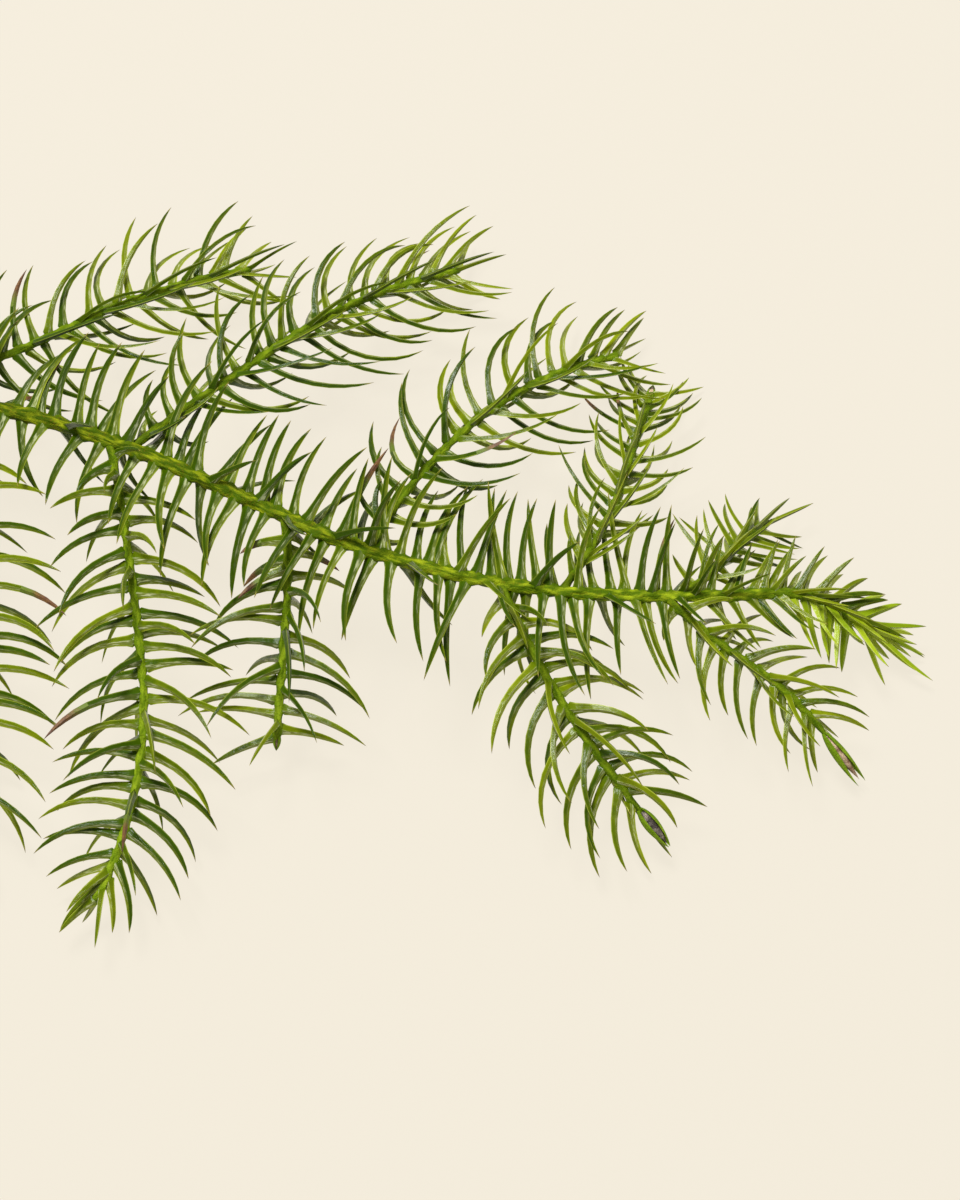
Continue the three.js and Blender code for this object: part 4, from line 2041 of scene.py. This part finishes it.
WITHERED_TIP = Blight(odds=0.12, span=(0.84, 1.0), finish=NeedleFinish.DEAD, whole=True, size=0.8)
RUSTY_ENDS = Blight(odds=0.12, span=(0.7, 1.0))
DEAD_ROOT = Blight(odds=1.0, span=(0.0, 0.26), size=0.66)
WITHERED = (WITHERED_TIP, RUSTY_ENDS)
BRANCHLETS = (
    BranchletPlan(
        name="left_branchlet_1", station=12, angles=(39, 49, 34), reach=50, tip=6.3, stem=0.44,
        needle=16.4, leans=(96, 78), tip_lean=50, pitch=0.84, girth=0.8, curl=64,
        unruly=1.1, short_tip=0.62, root_tone=-0.55,
    ),
    BranchletPlan(
        name="left_branchlet_2", station=43, angles=(64, 65, 45), reach=55, tip=6.3, stem=0.44,
        needle=17.0, leans=(98, 76), tip_lean=50, pitch=0.77, girth=0.8, curl=68,
        unruly=1.1, short_tip=0.62, root_tone=-0.55,
    ),
    BranchletPlan(
        name="left_branchlet_3", station=78, angles=(83, 65, 40), reach=49, tip=6.8, stem=0.44,
        needle=15.4, leans=(102, 78), tip_lean=44, pitch=0.86, girth=0.84, curl=74,
        short_tip=0.66, root_tone=-0.5,
    ),
    BranchletPlan(
        name="left_branchlet_4", station=104, angles=(57, 77, 79), reach=36.5, tip=4.6, stem=0.4,
        needle=13.0, leans=(90, 70), tip_lean=52, pitch=0.68, girth=0.78, curl=58,
        unruly=1.1, short_tip=0.94, root_tone=0.15, blights=WITHERED,
    ),
    BranchletPlan(
        name="left_branchlet_5", station=120, angles=(34, 52, 44), reach=18.5, tip=5.5, stem=0.36,
        needle=10.0, leans=(88, 66), tip_lean=50, pitch=0.48, girth=0.8, curl=30,
        unruly=1.1, short_tip=0.96, root_tone=0.2, blights=WITHERED,
    ),
    BranchletPlan(
        name="right_branchlet_1", station=15, angles=(-61, -71, -91), reach=60, tip=7, skin=PALE_TWIG,
        needle=15.6, leans=(104, 94), girth=0.98, forward=14, tones=(0, 0.7),
    ),
    BranchletPlan(
        name="right_branchlet_2", station=40, angles=(-56, -62, -98), reach=61, tip=6.2, skin=PALE_TWIG,
        needle=15.6, leans=(104, 94), girth=0.98, forward=14, tones=(0, 0.7),
        short_tip=0.5, blights=(SCATTERED, RUSTY_ENDS),
    ),
    BranchletPlan(
        name="right_branchlet_3", station=66, angles=(-58, -70, -70), reach=27, tip=7.5, skin=PALE_TWIG,
        needle=15.4, leans=(104, 100), tip_lean=80, pitch=0.92, girth=0.94, curl=54,
        forward=14, tones=(0, 0.75), blights=(DEAD_ROOT,),
    ),
    BranchletPlan(
        name="right_branchlet_4", station=96, angles=(-61, -47, -38), reach=34.2, tip=7.6,
        needle=15.4, leans=(104, 86), pitch=0.74, girth=0.96, curl=72,
        tones=(0.2, 1.0), blights=(),
    ),
    BranchletPlan(
        name="right_branchlet_5", station=118, angles=(-48, -31, -50), reach=27.5, tip=7.0, stem=0.4,
        needle=11.4, leans=(94, 74), pitch=0.72, girth=0.84, curl=50,
        short_tip=0.6, tones=(0.4, 1.1),
    ),
)


class Plant:
    """The bough with its leader and its branchlets."""

    def __init__(self, cut_end: Array) -> None:
        """Lays out all shoots from the cut end.

        Args:
            cut_end: middle of the cut, in millimetres.
        """
        self.bough = self.lay_bough(cut_end)
        branchlets = [self.lay_branchlet(order, plan) for order, plan in enumerate(BRANCHLETS)]
        self.shoots = [self.bough, self.lay_leader(), *branchlets]
        self.by_name = {shoot.name: shoot for shoot in self.shoots}

    @staticmethod
    def lay_bough(cut_end: Array) -> Shoot:
        """The bough: an arched line from the cut.

        Args:
            cut_end: middle of the cut.

        Returns:
            The shoot.
        """
        share = StemLine.shares()
        heights = lerp(cut_end[2], BOUGH_TIP_HEIGHT, share) + 4 * BOUGH_ARCH * share * (1 - share)
        return Shoot(
            name="main_bough",
            number=BOUGH_NUMBER,
            reach=BOUGH_REACH,
            radius=(1.02, 0.6),
            bare=5,
            pitch=0.9,
            crowding=0.78,
            needle=15.8,
            curls=(50, 46, 36, 30, 28, 18),
            leans=(106, 106, 68),
            lean_spread=24,
            left_share=0.28,
            left_lean=3,
            flatten=0.85,
            combings=2,
            turn_spread=46,
            steep_loss=0.3,
            tones=(-0.1, 0.5),
            root_tone=-0.4,
            short_root=0.88,
            short_tip=0.54,
            slot="bough_bark",
            skin=BARK,
            line=StemLine.grow(cut_end, BOUGH_REACH, BOUGH_HEADINGS, heights),
            girths=(1.04, 1.0, 0.94, 0.88, 0.72),
            form=BOUGH_FORM,
            has_cut_end=True,
        )

    def lay_leader(self) -> Shoot:
        """The leader: it carries on from the bough's tip and droops, with a brush of broad young needles.

        Returns:
            The shoot.
        """
        start = self.bough.line.at(np.array([LEADER_START])).point[0]
        heights = lerp(start[2], LEADER_TIP_HEIGHT, StemLine.shares() ** DROOP_POWER)
        return Shoot(
            name="leader_tip",
            number=LEADER_NUMBER,
            reach=LEADER_REACH,
            radius=(0.56, 0.4),
            bare=1.4,
            pitch=0.31,
            needle=9.2,
            leans=(82, 74, 26),
            forward=48,
            short_root=0.86,
            short_tip=1.2,
            tuft_share=0.64,
            slot="fresh_needles",
            skin=TWIG,
            line=StemLine.grow(start, LEADER_REACH, LEADER_HEADINGS, heights),
            blights=(),
            root_tone=0.35,
            girths=(0.66, 0.72, 1.05, 0.9),
            curls=(28, 28, 28, 24, 18, 12),
            flatten=0.2,
            fresh_from=0.42,
            fresh_lag=0.4,
            late_side=140,
            kin=BOUGH_NUMBER,
        )

    def lay_branchlet(self, order: int, plan: BranchletPlan) -> Shoot:
        """A branchlet: it leaves the bough at its station and droops to its tip.

        Args:
            order: place in the list of branchlets.
            plan: where it leaves and how it grows.

        Returns:
            The shoot.
        """
        share = plan.station / BOUGH_REACH
        joint = self.bough.line.at(np.array([share])).point[0]
        heading = float(along(BOUGH_HEADINGS, share))
        headings = tuple(heading + angle for angle in plan.angles)
        heights = lerp(joint[2], plan.tip, StemLine.shares() ** DROOP_POWER)
        return Shoot(
            name=plan.name,
            number=FIRST_BRANCHLET_NUMBER + order,
            reach=plan.reach,
            radius=(plan.stem, TIP_TAPER * plan.stem),
            bare=1.6,
            pitch=plan.pitch,
            needle=plan.needle,
            leans=(*plan.leans, plan.tip_lean),
            short_root=0.42,
            short_tip=plan.short_tip,
            forward=plan.forward,
            slot="needles",
            skin=plan.skin,
            line=StemLine.grow(joint, plan.reach, headings, heights),
            girths=(plan.girth, plan.girth, TIP_GIRTH * plan.girth),
            curls=(*[plan.curl] * STEADY_CURLS, TIP_CURL),
            flatten=0.86,
            turn_spread=36,
            curl_spread=Shoot.curl_spread * plan.unruly,
            lean_spread=Shoot.lean_spread * plan.unruly,
            length_spread=Shoot.length_spread * plan.unruly,
            blights=plan.blights,
            tones=plan.tones,
            root_tone=plan.root_tone,
            collar=0.2,
        )

    def grow(self) -> None:
        """Grows all needles in order, so that each shoot makes room for those before it."""
        thicket = Thicket()
        for shoot in self.shoots:
            shoot.add_stem_guards(thicket)
        for bud in BUDS:
            if bud.room:
                thicket.extend(*bud.guard(self.by_name[bud.node]), NO_SHOOT)
        for shoot in self.shoots:
            shoot.grow(thicket)

    def build(self, finishes: Finishes) -> list[bpy.types.Object]:
        """Makes every shoot and bud and returns the pieces."""
        pieces = [piece for shoot in self.shoots for piece in shoot.build(finishes)]
        return pieces + [piece for bud in BUDS for piece in bud.build(self.by_name[bud.node], finishes)]


# The studio


@dataclass(frozen=True)
class Lamp:
    """A soft square lamp that faces the middle of the picture.

    Attributes:
        bearing: plan angle from the right of the picture.
        height: angle above level.
        distance: from the middle of the picture.
        power: power in watts.
    """

    name: str
    bearing: float
    height: float
    distance: float
    side: float
    power: float


@dataclass(frozen=True)
class Studio:
    """Pale floor, soft light and the camera.

    Attributes:
        target: point in the middle of the picture.
        elevation: how far above level the camera stands.
        distance: from the camera to the target.
        lens: focal length.
        picture_side: height of the picture behind the lens.
        nearest: distance from which the camera sees.
        floor_side: side of the floor.
        floor_squares: squares of its grid along a side.
        sky: colour of the light from all round.
        sky_strength: strength of that light.
    """

    target: Array
    elevation: float = 72.0
    distance: float = 444.44
    lens: float = 100.0
    picture_side: float = 36.0
    nearest: float = 10.0
    floor_side: float = 6000.0
    floor_squares: int = 8
    sky: Colour = (1.0, 0.975, 0.94, 1.0)
    sky_strength: float = 0.45
    lamp: Lamp = Lamp("window", bearing=120, height=68, distance=900, side=240, power=11.5)

    def add_floor(self) -> None:
        """A level sheet with a grid of even squares."""
        marks = self.floor_squares + 1
        steps = np.linspace(-0.5, 0.5, marks) * self.floor_side
        across, deep = np.meshgrid(steps, steps)
        points = np.stack([across, deep, np.zeros_like(across)], axis=-1).reshape(-1, 3)
        square = np.arange(self.floor_squares)
        low = square[:, None] * marks + square[None, :]
        quads = np.stack([low, low + 1, low + marks + 1, low + marks], axis=-1).reshape(-1, 4)
        faces = Faces(quads, {}, np.zeros(len(quads), int))
        floor = Shell(points, [faces], {}).to_object("floor", [PaleFloor().material()])

    def add_sky(self) -> None:
        """An even warm white from all round."""
        world = bpy.data.worlds.new("studio")
        world.use_nodes = True
        background = world.node_tree.nodes["Background"]
        background.inputs["Color"].default_value = self.sky
        background.inputs["Strength"].default_value = self.sky_strength
        bpy.context.scene.world = world

    def add_lamp(self) -> None:
        """Hangs the lamp, out of the camera's sight."""
        lamp = self.lamp
        light = bpy.data.lights.new(lamp.name, "AREA")
        light.shape = "SQUARE"
        light.size = lamp.side * MM
        light.energy = lamp.power
        turn = np.radians(lamp.bearing)
        rise = np.radians(lamp.height)
        way = np.array([np.cos(turn) * np.cos(rise), np.sin(turn) * np.cos(rise), np.sin(rise)])
        holder = bpy.data.objects.new(lamp.name, light)
        holder.location = (self.target + way * lamp.distance) * MM
        holder.rotation_euler = (np.pi / 2 - rise, 0, turn + np.pi / 2)
        holder.visible_camera = False
        bpy.context.scene.collection.objects.link(holder)

    def add_camera(self) -> None:
        """Looks down on the bough, level with the picture's foot."""
        lens = bpy.data.cameras.new("camera")
        lens.sensor_fit = "VERTICAL"
        lens.sensor_height = self.picture_side
        lens.lens = self.lens
        lens.clip_start = self.nearest * MM
        rise = np.radians(self.elevation)
        back = np.array([0, -np.cos(rise), np.sin(rise)])
        camera = bpy.data.objects.new("camera", lens)
        camera.location = (self.target + back * self.distance) * MM
        camera.rotation_euler = (np.pi / 2 - rise, 0, 0)
        bpy.context.scene.collection.objects.link(camera)
        bpy.context.scene.camera = camera

    def build(self) -> None:
        """Sets up the floor, the light and the camera."""
        self.add_floor()
        self.add_sky()
        self.add_lamp()
        self.add_camera()
        bpy.context.scene.view_settings.view_transform = "Standard"


# Middle of the picture, from the middle of the cut
PICTURE_FROM_CUT = np.array([87.78, -31.57, -2.0])


def cut_end() -> Array:
    """Middle of the cut from the record's mount, in millimetres."""
    (mount,) = [entry for entry in frame["record"]["mounts"] if entry["name"] == "cut_end"]
    return np.array(mount["pos_m"]) / MM


def main() -> None:
    """Builds the plant and the studio and logs the faces of each piece."""
    logging.basicConfig(level=logging.INFO, format="%(message)s")
    start = cut_end()
    Studio(start + PICTURE_FROM_CUT).build()
    plant = Plant(start)
    plant.grow()
    for piece in plant.build(Finishes(start)):
        LOG.info("%s: %d faces", piece.name, len(piece.data.polygons))


if __name__ == "__main__":
    main()
